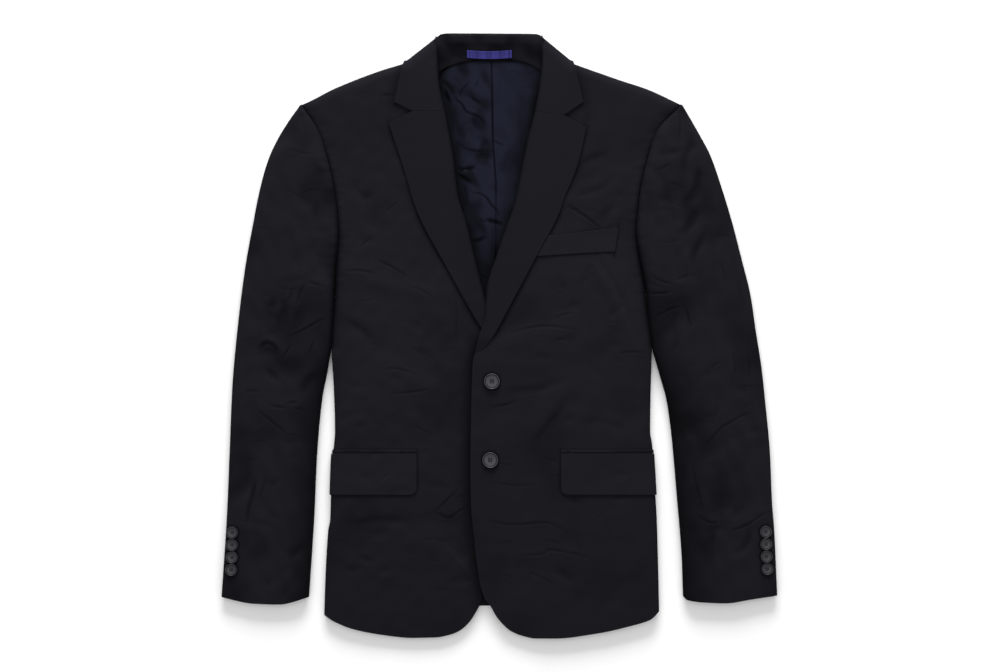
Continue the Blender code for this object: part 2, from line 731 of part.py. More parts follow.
def collar():
    """Two leaves on top, the fall behind the neck and the stand inside it."""
    for side, lines in LINES.items():
        panel(
            f"collar_leaf_{side}",
            "worsted",
            stations(8),
            5,
            lines["front_edge"],
            lines["leaf_out"],
            lines["leaf_foot"],
            lines["leaf_top"],
            lambda x, y, side=side: leaf_height(side, x, y),
            thickness=LAPEL_CLOTH,
            top_roll=COLLAR_ROLL,
        )

    def fall_height(x, y):
        slope = (collar_top(x + 1.0) - collar_top(x - 1.0)) / 2.0
        distance = (collar_top(x) - y) / math.hypot(1.0, slope)
        return (collar_edge(x) - SEAM_GAP - LIP) * (1.0 - rolled(distance, FALL_ROLL))

    first, last = COLLAR_COLUMNS[0], COLLAR_COLUMNS[-1]
    panel(
        "collar_fall",
        "worsted",
        [((x - first) / (last - first), 0.0, 0.0) for x in COLLAR_COLUMNS],
        2,
        level(first),
        level(last),
        collar_foot,
        collar_top,
        fall_height,
        top_roll=FALL_ROLL,
        faces_up=False,
    )

    stand_height = smooth(STAND_HEIGHT)
    stand_top = straight(STAND_TOP)

    def stand_face(x, y):
        edge = collar_edge(x) + LIP
        return edge + (stand_height(y) - edge) * rolled(stand_top(x) - y, STAND_ROLL)

    panel(
        "collar_stand",
        "worsted",
        stations(10),
        3,
        lambda y: LINES["left"]["front_edge"](y) + STAND_INSET,
        lambda y: LINES["right"]["front_edge"](y) - STAND_INSET,
        smooth(STAND_FOOT),
        stand_top,
        stand_face,
        thickness=STAND_CLOTH,
        top_roll=STAND_ROLL,
    )


def lining_face(x, y):
    """The lining's upper face, over the back panels."""
    return over_collar(x, y) + CLOTH + LIES_ON + LINING_CLOTH


def lining():
    """The lining of the back where the neck opening shows it, in halves with a centre seam."""
    seam = smooth(LINING_SEAM)
    for side, lines in LINES.items():
        sign = SIGN[side]

        def outer(y, sign=sign, lines=lines):
            under = sign * (lines["front_edge"](y) - seam(y)) + LINING_UNDER
            return seam(y) + sign * max(under, LINING_LEAST)

        panel(
            f"lining_{side}",
            "lining",
            stations(5),
            6,
            lambda y, sign=sign: seam(y) + sign * SEAM_GAP / 2.0,
            outer,
            level(LINING_FOOT_Y),
            level(LINING_TOP_Y),
            lining_face,
            levels=[y for y in SEAM_LEVELS if y > LINING_LEVELS_FROM],
            thickness=LINING_CLOTH,
        )


def hanger_loop():
    """A flat tape sewn across the stand, a little slack in its middle."""
    middle = (LOOP["left"] + LOOP["right"]) / 2.0
    half = (LOOP["right"] - LOOP["left"]) / 2.0
    stand_height = smooth(STAND_HEIGHT)

    def slack(x):
        return 1.0 - ((x - middle) / half) ** 2

    panel(
        "hanger_loop",
        "tape",
        stations(9),
        2,
        level(LOOP["left"]),
        level(LOOP["right"]),
        lambda x: LOOP["foot"] - LOOP["sag"] * slack(x),
        lambda x: LOOP["top"] - LOOP["sag"] * slack(x),
        lambda x, y: stand_height(y) + LIES_ON + TAPE + LOOP["slack"] * slack(x),
        thickness=TAPE,
    )


def on_front(side, x, y, out):
    """The height of a front's own face moved out by a distance, in the flat and round the side fold."""
    sign = SIGN[side]
    beyond = max(0.0, out - max(0.0, sign * (LINES[side]["side_edge"](y) - x)) * out / SIDE_ROLL)
    return front_height(side, x - sign * beyond, y) + out


def pocket_overlay(name, side, foot, top, cloth, steps):
    """A strip on a front from its inner end out to the side fold and round it."""
    sign = SIGN[side]
    out = LIES_ON + cloth
    panel(
        name,
        "worsted",
        stations(9, end_roll=True),
        steps,
        level(FLAP_FRONT_X[side]),
        lambda y: LINES[side]["side_edge"](y) + sign * out,
        foot,
        top,
        lambda x, y: on_front(side, x, y, out),
        thickness=cloth,
        rolls=level((0.0, SIDE_ROLL)),
        lip=FLAP_LIP,
    )


def pockets():
    """Jetted hip pockets with flaps, and the welt of the breast pocket."""
    for side in LINES:
        sign = SIGN[side]

        def flap_foot(x, side=side, sign=sign):
            inside = max(0.0, FLAP_CORNER - sign * (x - FLAP_FRONT_X[side]))
            rise = FLAP_CORNER - math.sqrt(max(FLAP_CORNER**2 - inside**2, 0.0))
            return FLAP_TOP_Y - FLAP_DEPTH + rise

        jet_foot = FLAP_TOP_Y + SEAM_GAP
        pocket_overlay(f"pocket_flap_{side}", side, flap_foot, level(FLAP_TOP_Y), CLOTH, 5)
        pocket_overlay(
            f"pocket_jet_{side}", side, level(jet_foot), level(jet_foot + JET_DEPTH), JET_CLOTH, 1
        )
    panel(
        "breast_welt",
        "worsted",
        stations(9),
        3,
        lambda y: LINES["right"]["lapel_out"](y) + 0.6,
        straight(BREAST_WELT["end"]),
        straight(BREAST_WELT["foot"]),
        straight(BREAST_WELT["top"]),
        lambda x, y: front_height("right", x, y) + LIES_ON + WELT_CLOTH,
        thickness=WELT_CLOTH,
    )


def button(name, x, y, diameter, face):
    """A turned button with a raised rim and a dished middle, lying just clear of the cloth under it."""
    radius = diameter / 2.0
    ring = [
        (x + share * radius * math.cos(turn * math.pi / 4), y + share * radius * math.sin(turn * math.pi / 4))
        for turn in range(8)
        for share in (0.5, 1.0)
    ]
    base = max(face(px, py) for px, py in [(x, y), *ring]) + LIES_ON
    profile = (  # share of the radius, share of the height, from the top's middle down
        (0.0, 0.62),
        (0.55, 0.66),
        (0.78, 1.0),
        (0.95, 0.86),
        (1.0, 0.45),
        (0.85, 0.0),
        (0.0, 0.0),
    )
    mesh = bpy.data.meshes.new(name)
    turned = bmesh.new()
    verts = [turned.verts.new((r * radius * MM, 0.0, h * BUTTON_HEIGHT * MM)) for r, h in profile]
    for a, b in zip(verts, verts[1:]):
        turned.edges.new((a, b))
    turned.to_mesh(mesh)
    turned.free()
    mesh.materials.append(material("button"))
    piece = bpy.data.objects.new(name, mesh)
    piece.location = (x * MM, y * MM, base * MM)
    screw = piece.modifiers.new("turn", "SCREW")
    screw.steps = screw.render_steps = 16
    screw.use_merge_vertices = True
    screw.merge_threshold = 0.00001
    jacket.objects.link(piece)


def buttons():
    for number, (x, y) in enumerate(FRONT_BUTTONS, 1):
        button(f"front_button_{number}", x, y, FRONT_BUTTON, lambda x, y: front_height("right", x, y))
    for side, places in CUFF_BUTTONS.items():
        for number, (x, y) in enumerate(places, 1):
            button(
                f"cuff_button_{side}_{number}",
                x,
                y,
                CUFF_BUTTON,
                lambda x, y, side=side: sleeve_height(side, x, y),
            )


for old in list(bpy.data.objects):
    bpy.data.objects.remove(old)
jacket = bpy.data.collections.new("suit_jacket")
bpy.context.scene.collection.children.link(jacket)

backs()
side_panels()
fronts()
sleeves()
lining()
collar()
lapels()
hanger_loop()
pockets()
buttons()
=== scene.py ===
"""A man's two-button suit jacket in near-black worsted with a navy lining, laid flat on white and seen straight
down. The collar points to +Y, and "left" and "right" are as seen from above.

The tables are in millimetres. Each cloth piece follows the lines and heights of its solid in finer steps, with
the creases, turned edges and seams that the solid leaves out, and replaces it.
"""

import math

import bpy
import numpy as np
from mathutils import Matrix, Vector


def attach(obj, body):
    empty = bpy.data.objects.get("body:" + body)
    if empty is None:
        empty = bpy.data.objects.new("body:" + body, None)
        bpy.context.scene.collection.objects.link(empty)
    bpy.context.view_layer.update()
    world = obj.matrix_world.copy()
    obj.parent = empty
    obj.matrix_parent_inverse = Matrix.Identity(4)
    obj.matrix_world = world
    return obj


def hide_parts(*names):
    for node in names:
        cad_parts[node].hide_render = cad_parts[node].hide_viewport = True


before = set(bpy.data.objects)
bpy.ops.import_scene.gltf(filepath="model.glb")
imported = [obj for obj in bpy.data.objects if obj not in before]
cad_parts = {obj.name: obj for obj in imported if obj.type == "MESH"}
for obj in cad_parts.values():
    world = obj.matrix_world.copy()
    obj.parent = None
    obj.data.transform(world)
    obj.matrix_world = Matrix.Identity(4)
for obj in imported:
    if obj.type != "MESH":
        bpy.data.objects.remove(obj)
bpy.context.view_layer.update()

MM = 0.001

# ---------------------------------------------------------------------------------------------------------
# Sizes, in millimetres.

CLOTH = 1.1  # worsted, with its canvas or fusing
FACING = 1.9  # lapels and collar, two layers and their canvas
LINING_CLOTH = 0.5
TAPE = 0.7
SEAM_GAP = 0.3
LIES_ON = 0.25
ROUNDING = 0.6  # how far in from its end an edge is rounded, as a share of the cloth's thickness
EDGE_THINS = 0.72
LIP = 0.9  # the upright end of an edge that rolls round to its neighbour

# Creases. Kind: half width, depth, and height of the ridge beside it, in millimetres.
CREASE_KINDS = {
    "deep": (2.6, 1.5, 0.3),
    "crisp": (1.5, 0.8, 0.2),
    "fine": (1.35, 0.5, 0.12),
    "soft": (5.0, 1.2, 0.6),
    "broad": (11.0, 1.5, 0.8),
    "ridge": (4.0, -1.1, 0.0),
    "dart": (1.3, 0.35, 0.1),
}
SHARP = 3.0  # half widths up to this are drawn with some gloom in them
SHADE_WIDTH = 0.95
CREASE_BOW = 0.06  # how far a straight crease bows, as a share of its length
RIDGE_BESIDE = 1.9  # the ridge's place and width, in half widths
RIDGE_WIDTH = 1.5
# Slighter creases from a seeded draw, between those listed: count, from, to (in Y), seed.
SMALL_CREASES = {"front": (60, -330.0, 230.0, 5), "sleeve": (34, -300.0, 250.0, 9)}
SUNK = ((-16, 4.5), (20, 4.2), (60, 3.6), (110, 2.4), (160, 1.2), (220, 0.6), (285, 0.3))  # (y, depth)
SUNK_WIDTH = 3.4
PUCKER = 0.42
PUCKER_REACH = 9.0
UNDER_RIPPLE = 0.7
FRONT_SEED = {"left": 11, "right": 23}
SLEEVE_SEED = {"left": 31, "right": 47}
UNDER_SEED = {"left": 53, "right": 61}

LAPEL_FOOT_Y = -26.0
LAPEL_RISES = 26.0
LAPEL_SINKS = -0.25
LAPEL_CLEAR = 0.9  # a lapel or leaf lies this far off the front, as it is pressed only at its roll
TURN_LEAST = 0.7  # the roll line's turn: half its width at the break and further up
TURN_MOST = 3.4
TURN_RUN = 70.0
FRONT_INSIDE = 0.75  # the front's own edge lies this share of the turn inside it

LEAST_CUT = 0.0101  # metres: the loop's tape is cut 10 mm wide

# Gloom: shade painted into the colour of the cloth, as the soft light alone leaves such shallow folds pale. It
# is (width in millimetres, strength) or a strength from 0 to 1.
GLOOM = 0.93
CREASE_GLOOM = 0.42
HOLLOW_GLOOM = {"front": 0.2, "sleeve": 0.34}
LOW_GLOOM = 0.12  # the lower front, further from the light
EDGE_GLOOM = 0.8  # on the left front, beside the right one's edge
EDGE_REACH = 10.5
LAPEL_TIP_Y = {"left": 264.5, "right": 258.5}
NOTCH = {"left": (-107.5, 278.6), "right": (81.0, 274.0)}
LAPEL_GLOOM = {"low": (4.2, 0.5), "high": (3.2, 0.25), "notch": (2.0, 0.2), "leaf": (8.0, 0.42)}
FLAP_GLOOM = (2.6, 0.5)
JET_GLOOM = (1.1, 0.35)
WELT_GLOOM = {"end": (2.2, 0.4), "foot": (5.0, 0.25), "top": (1.4, 0.3)}
BUTTON_GLOOM = (1.9, 0.8)
# Painted shade in the armhole seam's valley, as (y, strength), and its width in millimetres.
ARMHOLE_SHADE = ((-110, 0.2), (-60, 0.5), (-16, 1), (44, 1), (82, 0.9), (132, 0.7), (194, 0.5), (257, 0.3), (286, 0.05))
ARMHOLE_SHADE_WIDTH = 3.3
ARMHOLE_DIM = 0.3
ARMHOLE_DIM_WIDTH = 10.0
INNER_GLOOM = 0.6
INNER_REACH = {"left": 25.0, "right": 33.0}
# Painted shade over the sleeves, uneven at random, for the shading of their soft folds.
SLEEVE_UNEVEN_SHADE = 0.12
OUTER_GLOOM = 0.45
STAND_GLOOM = 0.3
STAND_END_GLOOM = (6.0, 0.4)
LINING_EDGE = (6.5, 0.85)
LINING_SIDE = (16.0, 0.5)
LINING_CREASE_GLOOM = 0.95
LINING_CORNER = ((-77, 322), (-70, 329), (-63.5, 337), (-60, 341))
LINING_HOLLOWS = (  # centre x, y, half widths, gloom
    (-46, 319, 9, 13, 0.3),
    (-55, 269, 8, 18, 0.25),
    (-36, 257, 11, 9, 0.35),
    (-45, 238, 13, 7, 0.35),
    (-23, 224, 17, 5, 0.3),
    (-46, 176, 9, 16, 0.4),
    (-31, 129, 5, 11, 0.35),
    (21, 219, 11, 13, 0.5),
    (7, 209, 8, 8, 0.3),
    (29, 269, 6, 36, 0.35),
    (35, 326, 12, 15, 0.35),
    (-1, 115, 4, 19, 0.2),
)
# Painted shade in the dip of the lining's centre seam, as (y, strength).
SEAM_SHADE = ((100, 0.1), (165, 0.3), (180, 0.7), (240, 0.8), (250, 0.95), (300, 0.95), (312, 0.65), (344, 0.65))
FACING_GLOOM = 0.13
HIGH_GLOOM = 0.1  # the shoulders
CAP_OVERLAP = 1.0  # the sleeve runs on under the front's edge where both roll over at the cap
LINING_CLEAR = 1.6  # the lining lies this far off the back, so that its wrinkles have room
LINING_CREASE = 0.9
FLAP_CLOTH = 1.4
FLAP_STANDS = 0.5  # how far a flap's free edge stands off the front
SIGN = {"left": -1.0, "right": 1.0}

# Hip pockets and breast pocket.
FLAP_TOP_Y = -147.0
FLAP_DEPTH = 51.5
FLAP_CORNER = 8.0
FLAP_LIP = 4.0
JET_DEPTH = 4.6
JET_CLOTH = 0.8
WELT_CLOTH = 1.1

# Buttons: diameters, height and the centres of each, as (x, y).
FRONT_BUTTON = 20.0
CUFF_BUTTON = 15.0
BUTTON_HEIGHT = 3.2
FRONT_BUTTONS = ((-8.8, -57.0), (-10.9, -155.0))
CUFF_BUTTONS = {  # from the cuff up
    "left": ((-333.2, -291.5), (-332.3, -276), (-332.2, -260.5), (-332, -245)),
    "right": ((333.8, -290.5), (332.7, -275), (332.2, -259.5), (331.8, -244)),
}

# Where the arm leaves the body, in Y.
ARMPIT_Y = -16.0
ARMHOLE_FLAT_Y = 70.0
SIDE_ROLL = 12.0
ARMHOLE_ROLL = 22.0
SHOULDER_ROLL = 12.0
# The widest roll of an edge, as a share of the piece's width there.
OUTER_ROLL_SHARE = 0.45
INNER_ROLL_SHARE = 0.4
PANEL_ROLL_SHARE = 0.6
Y_REACH = 400.0  # beyond every piece, up and down

# Each outline is a table of (y, x) or, for what runs across, (x, y), in millimetres.
# side_edge: the armhole seam down to the armpit and the side fold under it.
# front_edge: the roll line down to the break and the front edge under it.
# hem, shoulder, cuff: lower and upper ends. sleeve_out, sleeve_in: the sleeve's two folds.
# lapel_out, lapel_top: the lapel's edge and its gorge and notch. leaf_*: the collar leaf.
OUTLINES = {
    "left": {
        "side_edge": (
            (-349, -218), (-303, -216.5), (-243, -213), (-229, -210.5), (-194, -209.5), (-153, -208),
            (-138, -206), (-119, -204.5), (-64, -206), (-16, -208.5), (38, -205.5), (86, -203),
            (127, -199.5), (174, -203), (219, -212.5), (256, -225.5), (287, -246),
        ),
        "front_edge": (
            (-340, -21), (-300, -12), (-270, -2), (-230, 6), (-155, 11), (-45, 11), (-25, 7), (0, -2),
            (42, -16), (79, -26), (141, -41), (174, -51), (222, -57), (272, -66), (318, -75), (372, -77.5),
        ),
        "low_to": ((-380, -34), (-300, -30), (-208, -37), (-58, -36), (-20, -32), (20, -21), (42, -17)),
        "hem": (
            (-218, -348.5), (-205.5, -356.5), (-180, -366.5), (-140, -374), (-110, -377), (-80, -376.5),
            (-61, -373), (-49, -368), (-37.5, -358), (-30, -347), (-25, -338), (-19, -321), (-14, -305),
            (0, -268),
        ),
        "shoulder": (
            (-246, 287), (-234, 292.5), (-206, 307), (-149, 329.5), (-115, 340), (-88, 350), (-76, 353),
        ),
        "sleeve_out": (
            (-326, -346), (-219, -339), (-148, -336), (-64, -332.5), (13, -325.5), (87, -316),
            (134, -307.5), (184, -297.5), (219, -287.5), (244, -276), (267, -262), (287, -247.5),
        ),
        "sleeve_in": (
            (-327, -237), (-268, -233), (-219, -230), (-160, -227.5), (-112, -224), (-76, -220),
            (-46, -214), (-16, -208.8),
        ),
        "cuff": ((-346, -326), (-306, -334), (-274, -335), (-237, -326)),
        "lapel_out": (
            (-27, 4), (9, -22), (41, -41), (86, -66), (147, -99), (174, -109), (194, -114.5), (264.5, -137.5),
        ),
        "lapel_top": ((-137.5, 264.5), (-107.5, 278.6), (-66, 279.4)),
        "lapel_foot": ((-60, -26), (60, -26)),
        "leaf_out": ((279, -134), (290, -130.6), (343, -118.6)),
        "leaf_top": ((-122, 341.3), (-114.2, 343.3), (-72.5, 376.2)),
        "leaf_foot": ((-134, 292), (-130.6, 290.3), (-107.5, 278.8), (-66, 279.6)),
    },
    "right": {
        "side_edge": (
            (-340, 199.7), (-268, 198), (-234, 197), (-190.6, 194.5), (-136, 191), (-119, 188.5),
            (-76, 189), (-16, 190.3), (24, 185.5), (61, 181.5), (93, 175.5), (129, 170.6), (174, 174.4),
            (216, 183), (256, 197.5), (287, 227),
        ),
        "front_edge": (
            (-326, -18.8), (-309, -23.8), (-258, -30.6), (-208, -35), (-158, -35.6), (-108, -35),
            (-58, -33.8), (-32, -32.5), (-22, -30), (3, -23.8), (18, -18.8), (61, -15), (97, -3.8),
            (137, 10), (166, 20), (184, 23.8), (241, 35), (287, 46.2), (344, 53.3), (373, 52.5),
        ),
        "hem": (
            (-24, -309), (-18.8, -326), (-10, -338), (-4, -349), (6, -361), (16, -369), (30, -374.5),
            (45, -377.5), (70, -377.5), (121, -371.5), (166, -361.5), (189, -354), (200, -344),
        ),
        "shoulder": (
            (52, 353), (64, 349.5), (89, 340), (151, 318), (184, 307), (222, 289.5), (227, 287),
        ),
        "sleeve_out": (
            (-324, 347), (-239, 343), (-208, 340.5), (-148, 338), (-83, 332), (-41, 327.5), (7, 320),
            (48, 314), (97, 302), (141, 290.6), (184, 277.5), (223, 264), (257, 246), (287, 228.5),
        ),
        "sleeve_in": (
            (-325, 229.5), (-279, 228), (-243, 225.5), (-203, 222), (-167, 219), (-124, 215), (-81, 209),
            (-50, 200.5), (-16, 190.6),
        ),
        "cuff": ((229.5, -325), (234, -329.5), (256, -332.5), (281, -333.5), (316, -328.5), (347, -324)),
        "lapel_out": (
            (-24, -25.5), (-7, -11), (41, 16), (97, 46), (152, 75), (174, 82.5), (190.6, 90),
            (212.5, 98), (258.5, 109),
        ),
        "lapel_top": ((44, 278.5), (81, 273.8), (109, 258.5)),
        "lapel_foot": ((-60, -24), (60, -24)),
        "leaf_out": ((274, 107), (290, 105), (343, 92.5)),
        "leaf_top": ((50, 375.6), (88.8, 343.3), (96, 341.3)),
        "leaf_foot": ((44, 278.7), (81, 274), (105, 290.2), (110, 294)),
    },
}

# Heights of the top layer's outer face, as (y, z).
PLATEAU = {
    "left": (
        (-377, 9), (-340, 10.6), (-250, 11.6), (-100, 12), (0, 12.4), (150, 14), (250, 16), (300, 17),
        (380, 17.5),
    ),
    "right": (
        (-377, 10.6), (-340, 11.6), (-250, 12), (-60, 12.6), (0, 14.8), (150, 15), (250, 16), (300, 17),
        (380, 17.5),
    ),
}
FRONT_EDGE_HEIGHT = {
    "left": ((-377, 8.4), (-250, 8.9), (-20, 9.1), (60, 9.6), (150, 11), (280, 12.5), (350, 11)),
    "right": (
        (-377, 10.6), (-250, 11.1), (-60, 11.4), (-28, 13.6), (0, 14.4), (60, 14.4), (150, 13.6),
        (280, 12.5), (350, 11),
    ),
}
VALLEY = (
    (-350, 5.8), (-90, 6.2), (-50, 7), (-16, 9.5), (30, 12), (100, 14), (200, 15), (250, 14), (275, 12),
    (290, 9),
)
SLEEVE_PLATEAU = ((-330, 12.5), (-250, 13), (-100, 14), (0, 15), (120, 17), (220, 18), (290, 17))
SLEEVE_EDGE = ((-330, 6.3), (0, 7), (200, 8.5), (290, 9))
SLEEVE_ROLL = ((-330, 7), (-230, 8), (-150, 12), (0, 16), (200, 20), (290, 12))
CAP_ROLL = 2.6
CAP_EDGE = 9.0
CAP_TOP_Y = 287.2
# How high the shoulder's edge lies, by distance from the garment's centre line.
SHOULDER_EDGE = ((70, 7), (110, 7.5), (240, 9))
CENTRE_X = -10.0
FRONT_BLEND = 45.0  # from a front's low edge to its plateau

# Hidden edges: back hem, centre back and the neck's parts.
BACK_HEM = ((-218, -347), (-150, -343), (-10, -337.5), (140, -341), (200, -343))
NECK_HALF = 64.0  # out to here from the centre line, the back ends at its neck seam
SHOULDER_FROM = 66.0  # from here it rises to the shoulder seam
SHOULDER_RUN = 16.0
BACK_NECK = {
    "left": ((-76, 350), (-50, 344), (-10, 342)),
    "right": ((-10, 342), (34, 344), (52, 350)),
}
SIDE_PANEL_SEAM = {  # (y, x)
    "left": ((-350, -156), (-100, -149), (-16, -150), (20, -157), (92, -197.5)),
    "right": ((-350, 138), (-100, 131), (-16, 131), (20, 138), (92, 170)),
}
SIDE_PANEL_TOP_Y = 92.0
COLLAR_FOOT = ((-107, 333), (-100, 333), (-72, 328), (-10, 325), (50, 328), (78, 333), (82, 333))
COLLAR_TOP = ((-107, 348.6), (-72.5, 376.2), (50, 375.6), (82, 348.8))
COLLAR_COLUMNS = (-107, -98, -90, -81, -72.5, -60, -35, -10, 15, 38, 50, 58, 66, 74, 82)
COLLAR_LIFT = 2.2  # the back rises this far to lie over the collar's fall
RISE_STARTS = 64.0  # it starts to rise this far below the fall's foot
RISE_RUN = 60.0
COLLAR_ROLL = 14.0
FALL_ROLL = 8.0
COLLAR_EDGE = ((-114, 7), (-72.5, 5.4), (50, 5.4), (89, 7))
ROLL_LINE_FALL = 1.5  # how quickly that fullness falls away from the roll line
LAPEL_LEAST = 4.0  # the width that a lapel counts as having where it is narrower
ROLL_LINE_LIFT = {  # how far the lapel and leaf stand off the front at the roll line, as (y, z)
    "left": ((-26, 0.1), (45, 0.3), (100, 2.2), (180, 3.2), (320, 3.0), (350, 1.5)),
    "right": ((-24, 0.4), (20, 0.8), (90, 2.2), (180, 3.2), (320, 3.0), (350, 1.5)),
}
STAND_FOOT = ((-78, 327), (-66, 334), (-48, 340.5), (-10, 344.5), (26, 342), (42, 336.5), (54, 327))
STAND_JOINS = 9.0  # how far in from the roll lines it rises to meet the leaves
STAND_TOP = (
    (-84, 367), (-79, 370.9), (-75, 374), (-71, 376.1), (-64, 376.9), (40, 376.3), (46.5, 376.1), (50.5, 374.9),
    (54, 372.1), (58, 368.8),
)
STAND_UNDER = 3.5  # how far its ends lie in under the roll lines
STAND_ROLL = 5.0
STAND_HEIGHT = ((326, 6.6), (338, 7), (346, 7.8), (358, 10.6), (366, 12.8), (377, 13.2))
LINING_SEAM = ((18, -3), (138, -3.8), (182, -3.8), (242, -7.5), (344, -9.4))
LINING_UNDER = 10.0  # how far the lining runs in under the fronts
LINING_LEAST = 18.0  # its least width from the seam
LINING_TOP_Y = 340.0
LINING_FOOT_Y = 18.0
LOOP = {"left": -40.0, "right": 16.0, "foot": 346.0, "top": 355.5, "sag": 1.5, "slack": 0.6}
BREAST_WELT = {
    "top": ((50, 123), (62, 124.5), (126, 131.5), (150, 134)),
    "foot": ((40, 98), (62, 99.5), (115, 103), (150, 104.5)),
    "end": ((98, 143.5), (140, 149.5)),
}
FLAP_FRONT_X = {"left": -102.5, "right": 77.2}

# The largest folds: side, piece, two ends, half width and height, in millimetres.
FOLDS = (
    ("left", "front", (-191, 80), (-84, 48), 12, 1.2),
    ("left", "front", (-190, 16), (-150, -8), 14, -1.0),
    ("left", "front", (-142, -42), (-86, -66), 12, 1.0),
    ("left", "front", (-92, -258), (-56, -290), 14, 1.2),
    ("left", "front", (-178, -236), (-60, -230), 12, -1.0),
    ("right", "front", (132, 72), (176, -12), 12, 1.4),
    ("right", "front", (16, -6), (95, 10), 12, 1.2),
    ("right", "front", (94, -80), (48, -136), 13, -1.0),
    ("right", "front", (84, 166), (146, 198), 12, 1.0),
    ("right", "front", (28, -274), (120, -276), 12, 1.2),
    ("left", "sleeve", (-258, 72), (-212, 58), 12, 1.4),
    ("left", "sleeve", (-292, -20), (-266, -36), 13, -1.2),
    ("left", "sleeve", (-294, -90), (-248, -86), 12, 1.4),
    ("left", "sleeve", (-300, -172), (-314, -236), 13, 1.4),
    ("right", "sleeve", (186, 76), (222, 60), 12, 1.4),
    ("right", "sleeve", (200, 24), (226, 38), 13, -1.2),
    ("right", "sleeve", (232, -136), (250, -204), 13, 1.4),
    ("right", "sleeve", (246, -230), (328, -226), 12, 1.2),
)

